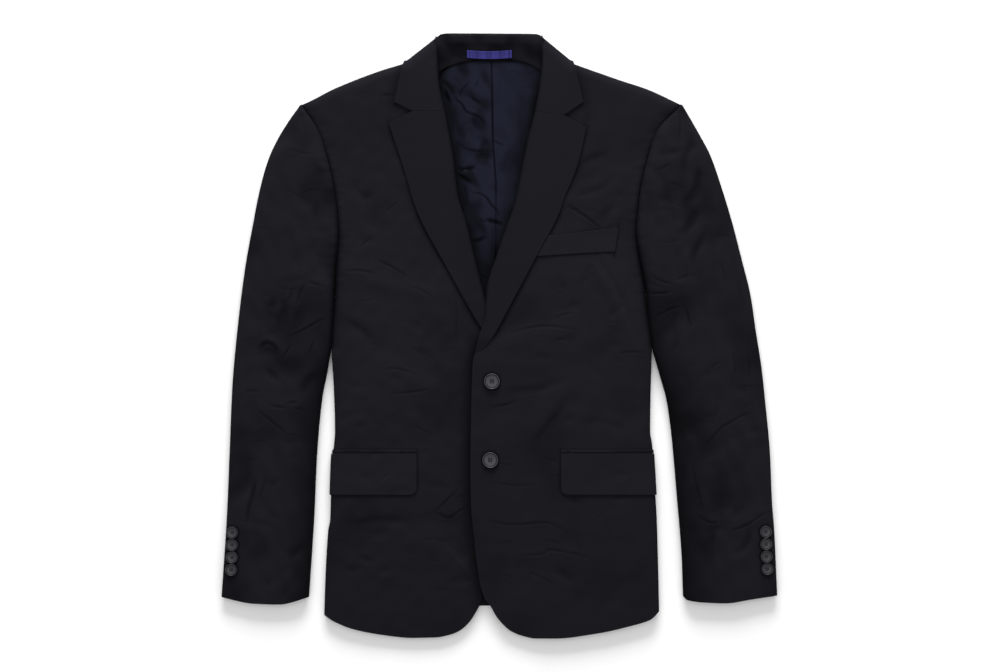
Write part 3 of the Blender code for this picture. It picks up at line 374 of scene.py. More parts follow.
CREASES = {  # kind, strength, then the line that it follows, as (x, y)
    ("left", "front"): (
        ("crisp", 1.0, (-191.2, 80), (-157.5, 77.6)),
        ("crisp", 1.0, (-153.8, 94.4), (-133.8, 85.6), (-115, 73.1)),
        ("crisp", 0.8, (-110, 60.6), (-83.8, 48.1)),
        ("fine", 1.0, (-141.2, 153.1), (-125, 165.6)),
        ("fine", 1.0, (-172.5, 109.4), (-157.5, 121.9)),
        ("soft", 0.8, (-191.2, 19.4), (-157.5, -6.9)),
        ("crisp", 0.9, (-143.8, -43.1), (-127.5, -41.4), (-103.8, -48.1)),
        ("crisp", 0.9, (-133.8, -73.1), (-110, -70.6), (-86.2, -67.5)),
        ("fine", 1.0, (-106.2, -113.1), (-82.5, -125.6)),
        ("crisp", 1.0, (-51.2, -191.9), (-66.2, -206.9), (-80, -220.6)),
        ("crisp", 1.0, (-80, -220.6), (-62.5, -226.9), (-48.8, -218.1), (-38.8, -215.6)),
        ("soft", 0.9, (-177.5, -235.6), (-115, -231.4)),
        ("fine", 1.0, (-98.8, -254.4), (-62.5, -257.5)),
        ("soft", 0.8, (-175, -276.9), (-157.5, -281.9)),
        ("soft", 0.6, (-151.2, -295.6), (-133.8, -293.1)),
        ("ridge", 0.8, (-70, -263.1), (-48.8, -284.4), (-30, -308.1)),
        ("fine", 1.0, (-153.8, -186.9), (-133.8, -170.6)),
        ("dart", 1.0, (-53.8, 56.9), (-53.1, 19.4), (-53.8, -25.6)),
        ("soft", 0.5, (-198.8, -105.6), (-158.8, -95.6)),
        ("broad", 0.6, (-183.8, 194.4), (-158.8, 163.1), (-148.8, 129.4)),
        ("soft", 0.5, (-121.2, 19.4), (-86.2, 1.9)),
    ),
    ("right", "front"): (
        ("crisp", 1.1, (85, 161.9), (107.5, 148.1), (126.2, 133.1)),
        ("soft", 0.8, (95, 174.4), (126.2, 181.9), (146.2, 199.4)),
        ("soft", 0.8, (126.2, 146.9), (148.8, 161.9)),
        ("soft", 0.7, (96.2, 208.1), (136.2, 225.6)),
        ("soft", 1.0, (118.8, 100.6), (141.2, 65.6), (156.2, 34.4), (176.2, -13.1)),
        ("soft", 0.7, (115, 90.6), (101.2, 60.6)),
        ("crisp", 1.0, (16.2, 3.1), (37.5, 9.4), (62.5, 11.9), (95, 6.9)),
        ("crisp", 0.8, (67.5, 20.6), (95, 28.1)),
        ("fine", 1.0, (67.5, -6.9), (85, -5.6)),
        ("crisp", 0.7, (148.8, -22.5), (182.5, -22.5)),
        ("crisp", 0.9, (-11.2, -89.4), (11.2, -85.6), (25, -79.4)),
        ("soft", 0.8, (13.8, -69.4), (50, -66.9), (72.5, -58.1)),
        ("soft", 0.9, (87.5, -74.4), (70, -101.9), (50, -129.4)),
        ("fine", 1.0, (57.5, -153.1), (75, -159.4)),
        ("fine", 1.0, (-11.2, -183.1), (25, -186.9), (46.2, -184.4)),
        ("crisp", 1.0, (-11.2, -231.9), (16.2, -235.6), (57.5, -233.1), (72.5, -238.1), (86.2, -245.6)),
        ("fine", 1.0, (52.5, -255.6), (75, -259.4)),
        ("crisp", 0.9, (25, -274.4), (55, -271.9), (62.5, -266.9), (87.5, -270.6), (116.2, -278.1)),
        ("crisp", 0.8, (37.5, -295.6), (53.8, -301.9), (70, -310.6)),
        ("fine", 0.8, (106.2, -308.1), (116.2, -309.4)),
        ("soft", 0.5, (126.2, -105.6), (157.5, -120.6)),
        ("soft", 0.5, (107.5, 44.4), (91.2, -11.9)),
    ),
    ("left", "sleeve"): (
        ("crisp", 1.1, (-238.8, 66.9), (-226.2, 63.1), (-212.5, 58.1)),
        ("soft", 0.7, (-263.8, 66.9), (-248.8, 69.4), (-238.8, 66.9)),
        ("crisp", 0.8, (-241.2, 66.9), (-246.2, 54.4), (-251.2, 40.6)),
        ("crisp", 0.9, (-257.5, 59.4), (-261.2, 44.4)),
        ("fine", 0.8, (-267.5, 230.6), (-252.5, 229.4), (-243.8, 226.9), (-228.8, 225.6)),
        ("soft", 0.7, (-228.8, 85.6), (-231.2, 69.4)),
        ("fine", 0.9, (-212.5, 74.4), (-206.2, 70.6)),
        ("soft", 0.9, (-266.2, 44.4), (-268.8, 26.9), (-272.5, 10.6)),
        ("soft", 1.0, (-278.8, 44.4), (-285, 34.4)),
        ("crisp", 1.1, (-216.2, 21.9), (-228.8, 15.6), (-243.8, 6.9), (-258.8, -0.6)),
        ("soft", 0.8, (-248.8, 31.9), (-252.5, 11.9)),
        ("deep", 0.7, (-297.5, -14.4), (-288.8, -9.4), (-280, -13.1), (-276.2, -20.6)),
        ("crisp", 0.9, (-236.2, -25.6), (-230, -6.9)),
        ("crisp", 0.9, (-268.8, -28.1), (-263.8, -19.4), (-258.8, -11.9)),
        ("soft", 0.9, (-291.2, -40.6), (-281.2, -50.6), (-272.5, -60.6)),
        ("crisp", 0.8, (-315, -70.6), (-296.2, -69.4)),
        ("crisp", 1.2, (-285, -86.9), (-273.8, -88.8), (-265, -90.6)),
        ("crisp", 1.1, (-263.8, -85.6), (-250, -83.1)),
        ("crisp", 0.8, (-253.8, -91.9), (-243.8, -93.1)),
        ("crisp", 1.0, (-301.2, -91.9), (-291.2, -100.6), (-278.8, -110.6), (-266.2, -120.6)),
        ("fine", 0.8, (-266.2, -123.1), (-250, -125.6)),
        ("soft", 0.8, (-225, -48.1), (-238.8, -56.9), (-246.2, -75.6)),
        ("fine", 0.7, (-308.8, -134.4), (-288.8, -130.6)),
        ("deep", 0.8, (-302.5, -180.6), (-306.2, -196.9), (-311.2, -215.6), (-315, -236.9)),
        ("crisp", 0.7, (-290, -175.6), (-295, -193.1), (-298.8, -205.6)),
        ("soft", 0.7, (-273.8, -175.6), (-283.8, -188.1)),
        ("soft", 0.8, (-248.8, -265.6), (-260, -283.1), (-268.8, -303.1)),
        ("soft", 0.8, (-252.5, -300.6), (-262.5, -315.6), (-270, -329.4)),
        ("soft", 0.6, (-278.8, -303.1), (-291.2, -313.1)),
        ("fine", 0.7, (-300, -160.6), (-302.5, -170.6)),
        ("soft", 0.6, (-300, 156.9), (-297.5, 131.9)),
        ("soft", 0.6, (-228.8, 163.1), (-231.2, 141.9)),
    ),
    ("right", "sleeve"): (
        ("fine", 0.9, (225, 271.9), (225, 256.9), (223.8, 241.9)),
        ("soft", 1.1, (241.2, 245.6), (236.2, 231.9), (231.2, 219.4), (228.8, 201.9)),
        ("soft", 0.9, (248.8, 205.6), (246.2, 188.1), (242.5, 173.1)),
        ("crisp", 0.7, (215, 211.9), (206.2, 209.4), (195, 204.4)),
        ("broad", 0.5, (213.8, 191.9), (211.2, 166.9)),
        ("soft", 0.9, (247.5, 155.6), (238.8, 140.6), (231.2, 130.6), (222.5, 123.1)),
        ("soft", 1.2, (256.2, 130.6), (248.8, 113.1), (241.2, 98.1), (241.2, 83.1)),
        ("crisp", 1.1, (186.2, 78.1), (195, 70.6), (203.8, 66.9), (215, 63.1)),
        ("crisp", 1.0, (220, 70), (228.8, 71.9), (236.2, 75.6)),
        ("crisp", 1.1, (186.2, 53.1), (201.2, 52.5), (215, 54.4)),
        ("crisp", 1.0, (193.8, 23.1), (203.8, 26.9), (211.2, 31.9), (220, 34.4), (230, 36.9)),
        ("crisp", 0.9, (231.2, 35.6), (235, 25.6), (238.8, 10.6)),
        ("soft", 0.8, (225, 6.9), (222.5, -8.1), (221.2, -20.6)),
        ("fine", 0.8, (191.2, 119.4), (203.8, 115.6), (216.2, 116.9), (227.5, 119.4)),
        ("soft", 0.7, (228.8, 163.1), (238.8, 171.9), (243.8, 181.9)),
        ("soft", 0.9, (290, 106.9), (295, 79.4), (300, 56.9), (307.5, 31.9)),
        ("fine", 0.8, (275, 91.9), (278.8, 66.9)),
        ("soft", 0.7, (221.2, 91.9), (230, 106.9), (233.8, 114.4)),
        ("crisp", 0.8, (265, -40.6), (273.8, -33.1)),
        ("soft", 0.9, (226.2, -45.6), (235, -61.9), (241.2, -80.6)),
        (
            "crisp", 1.0, (256.2, -136.9), (266.2, -126.9), (276.2, -115.6), (288.8, -108.1), (301.2, -100.6),
            (315, -95.6),
        ),
        ("soft", 0.8, (271.2, -86.9), (267.5, -103.1)),
        ("soft", 1.3, (227.5, -120.6), (233.8, -145.6), (233.8, -174.4), (228.8, -205.6)),
        ("crisp", 1.3, (241.2, -161.9), (245, -183.1), (250, -201.9), (253.8, -219.4)),
        ("crisp", 1.1, (246.2, -224.4), (256.2, -230.6), (266.2, -233.1), (275, -231.9)),
        ("crisp", 1.2, (288.8, -243.1), (301.2, -239.4), (313.8, -233.1), (323.8, -225.6), (337.5, -218.1)),
        ("soft", 0.9, (312.5, -241.9), (310, -255.6), (302.5, -266.9), (290, -271.9)),
        ("broad", 0.8, (247.5, -253.1), (258.8, -271.9), (270, -298.1)),
        ("soft", 0.7, (266.2, -243.1), (265, -261.9)),
        ("soft", 0.7, (295, -215.6), (291.2, -230.6)),
        ("fine", 0.7, (310, -25.6), (310, -50.6)),
        ("fine", 0.7, (291.2, -20.6), (291.2, -58.1)),
    ),
    ("left", "leaf"): (
    ),
    ("right", "leaf"): (
    ),
    ("left", "lapel"): (
    ),
    ("right", "lapel"): (
    ),
    ("both", "lining"): (
        ("deep", 1.3, (-77.5, 321.9), (-72.5, 329.4), (-66.2, 335.6), (-61.2, 339.4)),
        ("crisp", 1.0, (-61.2, 335.6), (-48.8, 338.1), (-41.2, 341.9)),
        ("deep", 0.8, (-68.8, 306.9), (-65, 298.1), (-61.2, 289.4)),
        ("soft", 1.0, (-58.8, 321.9), (-53.8, 314.4), (-50, 304.4)),
        ("deep", 0.7, (-73.8, 319.4), (-65, 313.1), (-58.8, 306.9), (-56.2, 299.4)),
        (
            "crisp", 1.2, (-57.5, 300.6), (-52.5, 293.1), (-46.2, 288.1), (-41.2, 279.4), (-32.5, 275.6),
            (-25, 271.9), (-16.2, 263.1),
        ),
        ("crisp", 0.8, (-66.2, 300.6), (-63.8, 293.1), (-61.2, 285.6)),
        ("crisp", 1.0, (-48.8, 296.9), (-47.5, 304.4), (-42.5, 310.6), (-36.2, 316.9)),
        ("fine", 1.0, (-31.2, 309.4), (-27.5, 314.4), (-26.2, 319.4)),
        ("crisp", 1.1, (-36.2, 299.4), (-31.2, 294.4), (-23.8, 289.4)),
        ("soft", 0.8, (-45, 253.1), (-38.8, 259.4), (-28.8, 264.4)),
        ("soft", 0.7, (-36.2, 248.1), (-23.8, 243.1), (-11.2, 234.4)),
        ("crisp", 0.7, (-53.8, 241.9), (-45, 234.4), (-33.8, 230.6), (-17.5, 230), (-5, 229.4)),
        ("soft", 0.9, (-48.8, 230.6), (-33.8, 226.9), (-18.8, 224.4)),
        ("deep", 1.0, (-52.5, 209.4), (-43.8, 206.2), (-35, 208.8), (-30, 210.6)),
        ("deep", 1.0, (-55, 204.4), (-48.8, 199.4), (-41.2, 194.4), (-33.8, 190.6)),
        ("fine", 1.0, (-45, 186.9), (-41.2, 174.4), (-42.5, 161.9)),
        (
            "crisp", 1.2, (-35, 178.1), (-25, 176.9), (-18.8, 174.4), (-13.8, 169.4), (-8.8, 161.9),
            (-2.5, 155.6), (-1.2, 148.1),
        ),
        ("crisp", 0.8, (-26.2, 146.9), (-18.8, 141.9), (-13.8, 144.4)),
        ("deep", 0.9, (-16.2, 144.4), (-6.2, 141.9), (5, 138.1)),
        ("deep", 0.8, (-36.2, 115.6), (-30, 116.9), (-23.8, 119.4), (-16.2, 123.1)),
        ("fine", 0.8, (-7.5, 141.9), (-8.1, 121.9), (-7.5, 100.6)),
        ("crisp", 0.9, (-8.8, 243.1), (-2.5, 240.6), (6.2, 236.9)),
        ("fine", 1.1, (-23.8, 76.9), (-18.8, 71.9), (-15, 70.6)),
        ("soft", 0.9, (17.5, 231.9), (11.2, 219.4), (12.5, 204.4)),
        ("fine", 0.7, (13.8, 329.4), (21.2, 328.1), (26.2, 323.1)),
        ("fine", 0.6, (31.2, 329.4), (38.8, 328.1), (47.5, 329.4)),
        ("fine", 0.5, (26.2, 309.4), (36.2, 309.4), (46.2, 308.1)),
        ("soft", 0.6, (-2.5, 213.1), (3.8, 206.9), (6.2, 199.4)),
        ("fine", 0.8, (-62.5, 281.9), (-58.8, 266.9), (-60, 251.9)),
        ("soft", 0.7, (-28.8, 219.4), (-18.8, 221.9), (-7.5, 220.6)),
        ("fine", 0.6, (-36.2, 288.1), (-28.8, 281.9), (-20, 279.4)),
        ("soft", 0.8, (1.2, 331.9), (5, 306.9), (2.5, 281.9)),
    ),
}


# ---------------------------------------------------------------------------------------------------------
# Curves.


def smooth(rows):
    """A curve through (at, value) rows that never overshoots them, straight past its ends."""
    at, value = np.array(rows, float).T
    steps = np.diff(at)
    slopes = np.diff(value) / steps
    tangents = np.concatenate([slopes[:1], np.zeros(len(at) - 2), slopes[-1:]])
    before, after = slopes[:-1], slopes[1:]
    same_way = np.flatnonzero(before * after > 0)
    tangents[same_way + 1] = (
        2 * before[same_way] * after[same_way] / (before[same_way] + after[same_way])
    )

    def curve(x):
        x = np.asarray(x, float)
        i = np.clip(np.searchsorted(at, x, side="right") - 1, 0, len(steps) - 1)
        t = np.clip((x - at[i]) / steps[i], 0.0, 1.0)
        found = value[i] * (1 + 2 * t) * (1 - t) ** 2 + steps[i] * tangents[i] * t * (1 - t) ** 2
        found += value[i + 1] * t * t * (3 - 2 * t) + steps[i] * tangents[i + 1] * t * t * (t - 1)
        return found + tangents[0] * np.minimum(x - at[0], 0) + tangents[-1] * np.maximum(x - at[-1], 0)

    return curve


def straight(rows):
    """A function through (at, value) rows with straight runs between them."""
    at, value = np.array(rows, float).T

    def line(x):
        i = np.clip(np.searchsorted(at, x) - 1, 0, len(at) - 2)
        return value[i] + (value[i + 1] - value[i]) * (x - at[i]) / (at[i + 1] - at[i])

    return line


def level(value):
    return lambda x: np.full(np.shape(x), float(value))


def held(curve, low, high):
    """The curve, with its ends level instead of straight on."""
    return lambda x: curve(np.clip(x, low, high))


def ease(t):
    t = np.clip(t, 0.0, 1.0)
    return t * t * (3 - 2 * t)


def rolled(distance, width):
    """How far an edge has risen, from 0 at the edge to 1 where the cloth is flat."""
    return np.sqrt(1.0 - (1.0 - np.clip(distance / width, 0.0, 1.0)) ** 2)


def lift(y):
    """0 where the sleeve is joined on, 1 where the sides of body and sleeve are folds of their own."""
    return 1.0 - ease((y - ARMPIT_Y) / (ARMHOLE_FLAT_Y - ARMPIT_Y))


STRAIGHT_OUTLINES = ("lapel_top", "lapel_foot", "leaf_out", "leaf_top", "leaf_foot")
LINES = {
    side: {
        name: straight(rows) if name in STRAIGHT_OUTLINES else smooth(rows)
        for name, rows in outlines.items()
    }
    for side, outlines in OUTLINES.items()
}
plateau = {side: smooth(rows) for side, rows in PLATEAU.items()}
front_edge_height = {side: smooth(rows) for side, rows in FRONT_EDGE_HEIGHT.items()}
roll_line_lift = {
    side: held(smooth(rows), rows[0][0], rows[-1][0]) for side, rows in ROLL_LINE_LIFT.items()
}
valley = held(smooth(VALLEY), VALLEY[0][0], VALLEY[-1][0])
sleeve_plateau = smooth(SLEEVE_PLATEAU)
sleeve_edge = smooth(SLEEVE_EDGE)
sleeve_roll = smooth(SLEEVE_ROLL)
shoulder_edge = smooth(SHOULDER_EDGE)
side_panel_seam = {side: smooth(rows) for side, rows in SIDE_PANEL_SEAM.items()}
back_hem = smooth(BACK_HEM)
collar_foot = smooth(COLLAR_FOOT)
collar_top = straight(COLLAR_TOP)
collar_edge = straight(COLLAR_EDGE)
stand_height = smooth(STAND_HEIGHT)
stand_top = smooth(STAND_TOP)
lining_seam = smooth(LINING_SEAM)
sunk_depth = smooth(SUNK)
seam_shade = held(smooth(SEAM_SHADE), SEAM_SHADE[0][0], SEAM_SHADE[-1][0])
armhole_shade = held(smooth(ARMHOLE_SHADE), ARMHOLE_SHADE[0][0], ARMHOLE_SHADE[-1][0])


# ---------------------------------------------------------------------------------------------------------
# Creases: troughs and ridges along listed lines.


def path_of(points):
    """The crease's line, rounded between its points, and bowed a little where it has only two."""
    points = np.array(points, float)
    if len(points) == 2:
        way = points[1] - points[0]
        middle = points.mean(axis=0) + CREASE_BOW * np.array([-way[1], way[0]])
        points = np.array([points[0], middle, points[1]])
    padded = np.vstack([2 * points[0] - points[1], points, 2 * points[-1] - points[-2]])
    found = []
    for a, b, c, d in zip(padded, padded[1:], padded[2:], padded[3:]):
        for t in np.linspace(0.0, 1.0, 7)[:-1]:
            found.append(
                0.5 * (2 * b + (c - a) * t + (2 * a - 5 * b + 4 * c - d) * t**2 + (3 * b - a - 3 * c + d) * t**3)
            )
    return np.array([*found, points[-1]])


def from_path(x, y, path):
    """How far each point is from a line, to which side of it, and its place along it from 0 to 1."""
    lengths = np.hypot(*np.diff(path, axis=0).T)
    total = lengths.sum()
    best = np.full(x.shape, np.inf)
    side = np.zeros(x.shape)
    place = np.zeros(x.shape)
    before = 0.0
    for (ax, ay), (bx, by), length in zip(path, path[1:], lengths):
        along_x, along_y = (bx - ax) / length, (by - ay) / length
        along = (x - ax) * along_x + (y - ay) * along_y
        t = np.clip(along, 0.0, length)
        away = np.hypot(x - ax - t * along_x, y - ay - t * along_y)
        closer = away < best
        best = np.where(closer, away, best)
        side = np.where(closer, (x - ax) * along_y - (y - ay) * along_x, side)
        place = np.where(closer, (before + t) / total, place)
        before += length
    return best, np.sign(side), place


def near_path(x, y, path, margin):
    """Picks the points in the box round a line."""
    low, high = path.min(axis=0) - margin, path.max(axis=0) + margin
    return (x > low[0]) & (x < high[0]) & (y > low[1]) & (y < high[1])


def crease(x, y, kind, strength, points, shade=False):
    """The height that one crease adds: a trough, with a ridge on one side where the cloth is pushed up.

    As a shade, it is how deep in the trough a point lies, from 0 to 1, for the sharper kinds."""
    width, depth, ridge = CREASE_KINDS[kind]
    path = path_of(points)
    near = near_path(x, y, path, 4 * width)
    height = np.zeros(x.shape)
    if not near.any() or (shade and width > SHARP):
        return height
    away, side, place = from_path(x[near], y[near], path)
    across = away * side
    fade = np.sin(math.pi * np.clip(place, 0.02, 0.98)) ** 0.55
    if shade:
        height[near] = fade * strength * depth * np.exp(-((across / (SHADE_WIDTH * width)) ** 2))
        return height
    trough = -depth * np.exp(-((across / width) ** 2))
    beside = ridge * np.exp(-(((across - RIDGE_BESIDE * width) / (RIDGE_WIDTH * width)) ** 2))
    beside += 0.5 * ridge * np.exp(-(((across + RIDGE_BESIDE * width) / (RIDGE_WIDTH * width)) ** 2))
    height[near] = strength * fade * (trough + beside)
    return height


def dim_along(x, y, path, width, strength):
    """The gloom along a line, such as where an edge lies on the cloth."""
    path = np.array(path, float)
    near = near_path(x, y, path, 2.6 * width)
    found = np.zeros(x.shape)
    if near.any():
        away, _, _ = from_path(x[near], y[near], path)
        found[near] = strength * np.exp(-((away / width) ** 2))
    return found


def dimmed(*shades):
    """Several glooms together, from 0 to 1."""
    light = 1.0
    for shade in shades:
        light = light * (1.0 - np.clip(shade, 0.0, 1.0))
    return 1.0 - light


def wander(x, y, seed, large=0.5, small=0.16):
    """The slow unevenness of cloth that lies loosely: a few waves of uneven length and direction."""
    random = np.random.default_rng(seed)
    total = np.zeros(np.shape(x))
    for height, longest, shortest, waves in ((large, 170, 70, 7), (small, 48, 20, 9)):
        for _ in range(waves):
            turn, phase = random.uniform(0, math.pi), random.uniform(0, 2 * math.pi)
            length = random.uniform(shortest, longest)
            total += (
                height
                / math.sqrt(waves)
                * np.sin(2 * math.pi / length * (x * math.cos(turn) + y * math.sin(turn)) + phase)
            )
    return total


def folds(side, piece, x, y):
    """The piece's broad folds, as in the solid, and its creases."""
    total = np.zeros(np.shape(x))
    for fold_side, fold_piece, (x0, y0), (x1, y1), width, height in FOLDS:
        if fold_side != side or fold_piece != piece:
            continue
        along_x, along_y = x1 - x0, y1 - y0
        length = math.hypot(along_x, along_y)
        t = ((x - x0) * along_x + (y - y0) * along_y) / length**2
        across = ((x - x0) * along_y - (y - y0) * along_x) / length
        past = np.maximum(np.maximum(-t, t - 1.0), 0.0) * length
        total += height * np.exp(-((across / width) ** 2) - (past / width) ** 2)
    for kind, strength, *points in [*CREASES[side, piece], *small_creases(side, piece)]:
        total += crease(x, y, kind, strength, points)
    return total


def crease_shade(side, piece, x, y):
    """The gloom in the piece's sharper creases, which the grid is too coarse to catch."""
    total = np.zeros(np.shape(x))
    for kind, strength, *points in [*CREASES[side, piece], *small_creases(side, piece)]:
        total = np.maximum(total, crease(x, y, kind, strength, points, shade=True))
    return total


def small_creases(side, piece):
    """The slighter creases between the main ones: seeded, of uneven length and depth, mostly across."""
    count, low, high, seed = SMALL_CREASES[piece]
    random = np.random.default_rng(seed + (side == "right"))
    found = []
    for _ in range(count):
        y = random.uniform(low, high)
        if piece == "front":
            inner, outer = float(LINES[side]["front_edge"](y)), float(LINES[side]["side_edge"](y))
        else:
            inner, outer = float(sleeve_inner(side, y)), float(LINES[side]["sleeve_out"](y))
        x = inner + (outer - inner) * random.uniform(0.12, 0.9)
        half, turn = random.uniform(5, 17), random.normal(0.0, 0.45)
        bow = random.uniform(-0.25, 0.25) * half
        dx, dy = half * math.cos(turn), half * math.sin(turn)
        kind = "soft" if random.uniform() < 0.45 else "fine"
        line = ((x - dx, y - dy), (x - bow * dy / half, y + bow * dx / half), (x + dx, y + dy))
        found.append((kind, random.uniform(0.25, 0.65), *line))
    return found


def sunk(side, x, y):
    """How far the cloth on both sides sinks to the armhole seam, most towards the armpit."""
    away = (x - LINES[side]["side_edge"](y)) / SUNK_WIDTH
    return sunk_depth(y) * (1.0 - lift(y)) * np.exp(-(away**2))


def puckers(side, x, y, seed):
    """Small gathers along the armhole seam, which the sleeve is eased into."""
    random = np.random.default_rng(seed)
    away = np.abs(x - LINES[side]["side_edge"](y))
    ripple = sum(
        np.sin(2 * math.pi * y / length + random.uniform(0, 6))
        for length in (random.uniform(9, 12), random.uniform(13, 19), random.uniform(24, 33))
    )
    return PUCKER * ripple / 1.6 * np.exp(-((away / PUCKER_REACH) ** 2)) * ease((y - 10.0) / 50.0)


# ---------------------------------------------------------------------------------------------------------
# Heights of the outer faces.


def shoulder_distance(side, x, y):
    """How far below the shoulder's edge a point lies, measured square to it."""
    line = LINES[side]["shoulder"]
    slope = (line(x + 1.0) - line(x - 1.0)) / 2.0
    return (line(x) - y) / np.hypot(1.0, slope)


def chest_height(side, x, y):
    """A front's outer face before its edges roll: low along the front edge, full beyond it."""
    lines = LINES[side]
    low_to = lines["front_edge"](y)
    if side == "left":
        low_to = np.where(y < 42.0, np.minimum(low_to, lines["low_to"](y)), low_to)
    high = plateau[side](y)
    low = np.minimum(front_edge_height[side](y), high)
    return low + (high - low) * ease(SIGN[side] * (x - low_to) / FRONT_BLEND)


def bare(side, x, y):
    """1 where a front shows, 0 where the other front or its lapel lies on it and presses it flat."""
    shown = 1.0
    if side == "left":
        shown = ease((LINES["right"]["front_edge"](y) - 3.0 - x) / 8.0)
    under_lapel = ease((SIGN[side] * (LINES[side]["lapel_out"](y) - x) - 2.0) / 6.0) * ease((y + 26.0) / 10.0)
    return shown * (1.0 - under_lapel * (y < 300.0))


def front_height(side, x, y, share=1.0):
    """The outer face of a front. A share below 1 is for what lies on it and smooths its creases."""
    sign = SIGN[side]
    lines = LINES[side]
    extra = folds(side, "front", x, y) + wander(x, y, FRONT_SEED[side], 0.7, 0.22)
    extra = extra * bare(side, x, y) * share
    z = chest_height(side, x, y) + extra + puckers(side, x, y, FRONT_SEED[side])
    side_low = valley(y) + LIP * lift(y)
    z = side_low + (z - side_low) * rolled(sign * (lines["side_edge"](y) - x), armhole_roll(y))
    z = z - sunk(side, x, y)
    top_low = shoulder_edge(abs(x - CENTRE_X)) + LIP
    return top_low + (z - top_low) * rolled(shoulder_distance(side, x, y), SHOULDER_ROLL)


def armhole_roll(y):
    return SIDE_ROLL + (ARMHOLE_ROLL - SIDE_ROLL) * (1.0 - lift(y))


def sleeve_inner(side, y):
    """The sleeve's inner line: the armhole seam down to the armpit, then its own fold."""
    return np.where(y > ARMPIT_Y, LINES[side]["side_edge"](y), LINES[side]["sleeve_in"](y))


def sleeve_rolls(side, y):
    """The widths of the rolls at a sleeve's inner and outer folds, less where the sleeve is narrow."""
    width = abs(LINES[side]["sleeve_out"](y) - sleeve_inner(side, y))
    return (
        np.minimum(armhole_roll(y), INNER_ROLL_SHARE * width),
        np.minimum(sleeve_roll(y), OUTER_ROLL_SHARE * width),
    )


def sleeve_height(side, x, y):
    """The outer face of a top sleeve."""
    sign = SIGN[side]
    inner_roll, outer_roll = sleeve_rolls(side, y)
    z = sleeve_plateau(y) + folds(side, "sleeve", x, y) + wander(x, y, SLEEVE_SEED[side], 1.0, 0.3)
    z = z + puckers(side, x, y, SLEEVE_SEED[side])
    inner_low = valley(y) + LIP * lift(y)
    z = inner_low + (z - inner_low) * rolled(sign * (x - sleeve_inner(side, y)), inner_roll)
    outer_low = sleeve_edge(y) + LIP
    z = outer_low + (z - outer_low) * rolled(sign * (LINES[side]["sleeve_out"](y) - x), outer_roll)
    z = z - sunk(side, x, y)
    return CAP_EDGE + LIP + (z - CAP_EDGE - LIP) * rolled(CAP_TOP_Y - y, CAP_ROLL)


def sleeve_under_height(side, x, y):
    """The outer face of an under sleeve: flat on the floor, rolled up at its folds and at the cap."""
    sign = SIGN[side]
    inner_roll, outer_roll = sleeve_rolls(side, y)
    outer_edge = sign * (LINES[side]["sleeve_out"](y) - x)
    inner_edge = sign * (x - sleeve_inner(side, y))
    outer = (sleeve_edge(y) - LIP) * (1.0 - rolled(outer_edge, outer_roll))
    inner = lift(y) * (valley(y) - LIP) * (1.0 - rolled(inner_edge, inner_roll))
    cap = (CAP_EDGE - LIP) * (1.0 - rolled(CAP_TOP_Y - y, CAP_ROLL))
    ripple = UNDER_RIPPLE * np.maximum(wander(x, y, UNDER_SEED[side]), 0.0)
    inside = ease(np.minimum(outer_edge, inner_edge) / 20.0 - 0.4)
    return np.maximum(np.maximum(np.maximum(outer, inner), cap), ripple * inside)


def over_collar(x, y):
    """How far the back is raised to lie over the collar's fall."""
    return COLLAR_LIFT * ease((y - collar_foot(x) + RISE_STARTS) / RISE_RUN)


def under_height(side, x, y):
    """The outer face of the back and side panels, which lie on the floor and over the collar's fall."""
    sign = SIGN[side]
    raised = over_collar(x, y)
    inside = sign * (LINES[side]["side_edge"](y) - x)
    edge = lift(y) * (valley(y) - LIP) * (1.0 - rolled(inside, armhole_roll(y)))
    top = shoulder_edge(abs(x - CENTRE_X)) - LIP
    beside_neck = ease((abs(x - CENTRE_X) - SHOULDER_FROM) / SHOULDER_RUN)
    turned_up = beside_neck * (1.0 - rolled(shoulder_distance(side, x, y), SHOULDER_ROLL))
    seams = np.minimum(abs(x - CENTRE_X), abs(x - side_panel_seam[side](y)))
    ripple = UNDER_RIPPLE * np.maximum(wander(x, y, UNDER_SEED[side] + 5), 0.0)
    ripple = ripple * ease(inside / 20.0 - 0.8) * ease(seams / 12.0 - 0.3) * ease((250.0 - y) / 40.0)
    return np.maximum(raised + (top - raised) * turned_up, edge) + ripple * ease((y + 330.0) / 20.0)


def fullness(side, x, y, edge):
    """How far a lapel or collar leaf stands off what it lies on, most at the roll line."""
    roll_line = LINES[side]["front_edge"](y)
    width = np.maximum(abs(edge(y) - roll_line), LAPEL_LEAST)
    off_line = 1.0 - np.clip(SIGN[side] * (x - roll_line) / width, 0.0, 1.0)
    return roll_line_lift[side](y) * off_line**ROLL_LINE_FALL


def leaf_height(side, x, y):
    """A collar leaf's outer face, which rolls under at the neck's fold."""
    top_line = LINES[side]["leaf_top"]
    z = chest_height(side, x, y) + LAPEL_CLEAR + FACING
    z = z + fullness(side, x, y, LINES[side]["leaf_out"]) + 0.5 * wander(x, y, 91)
    slope = (top_line(x + 1.0) - top_line(x - 1.0)) / 2.0
    distance = (top_line(x) - y) / np.hypot(1.0, slope)
    edge = collar_edge(x) + LIP
    return edge + (z - edge) * rolled(distance, COLLAR_ROLL)


def lapel_height(side, x, y):
    """A lapel's outer face: the front's own face moved out, and fuller along the roll line."""
    stands = ease((y - LAPEL_FOOT_Y) / LAPEL_RISES)
    z = front_height(side, x, y, 0.3) + (LAPEL_CLEAR + FACING) * stands + (1.0 - stands) * LAPEL_SINKS
    return z + fullness(side, x, y, LINES[side]["lapel_out"]) + 0.4 * wander(x, y, 97) * stands
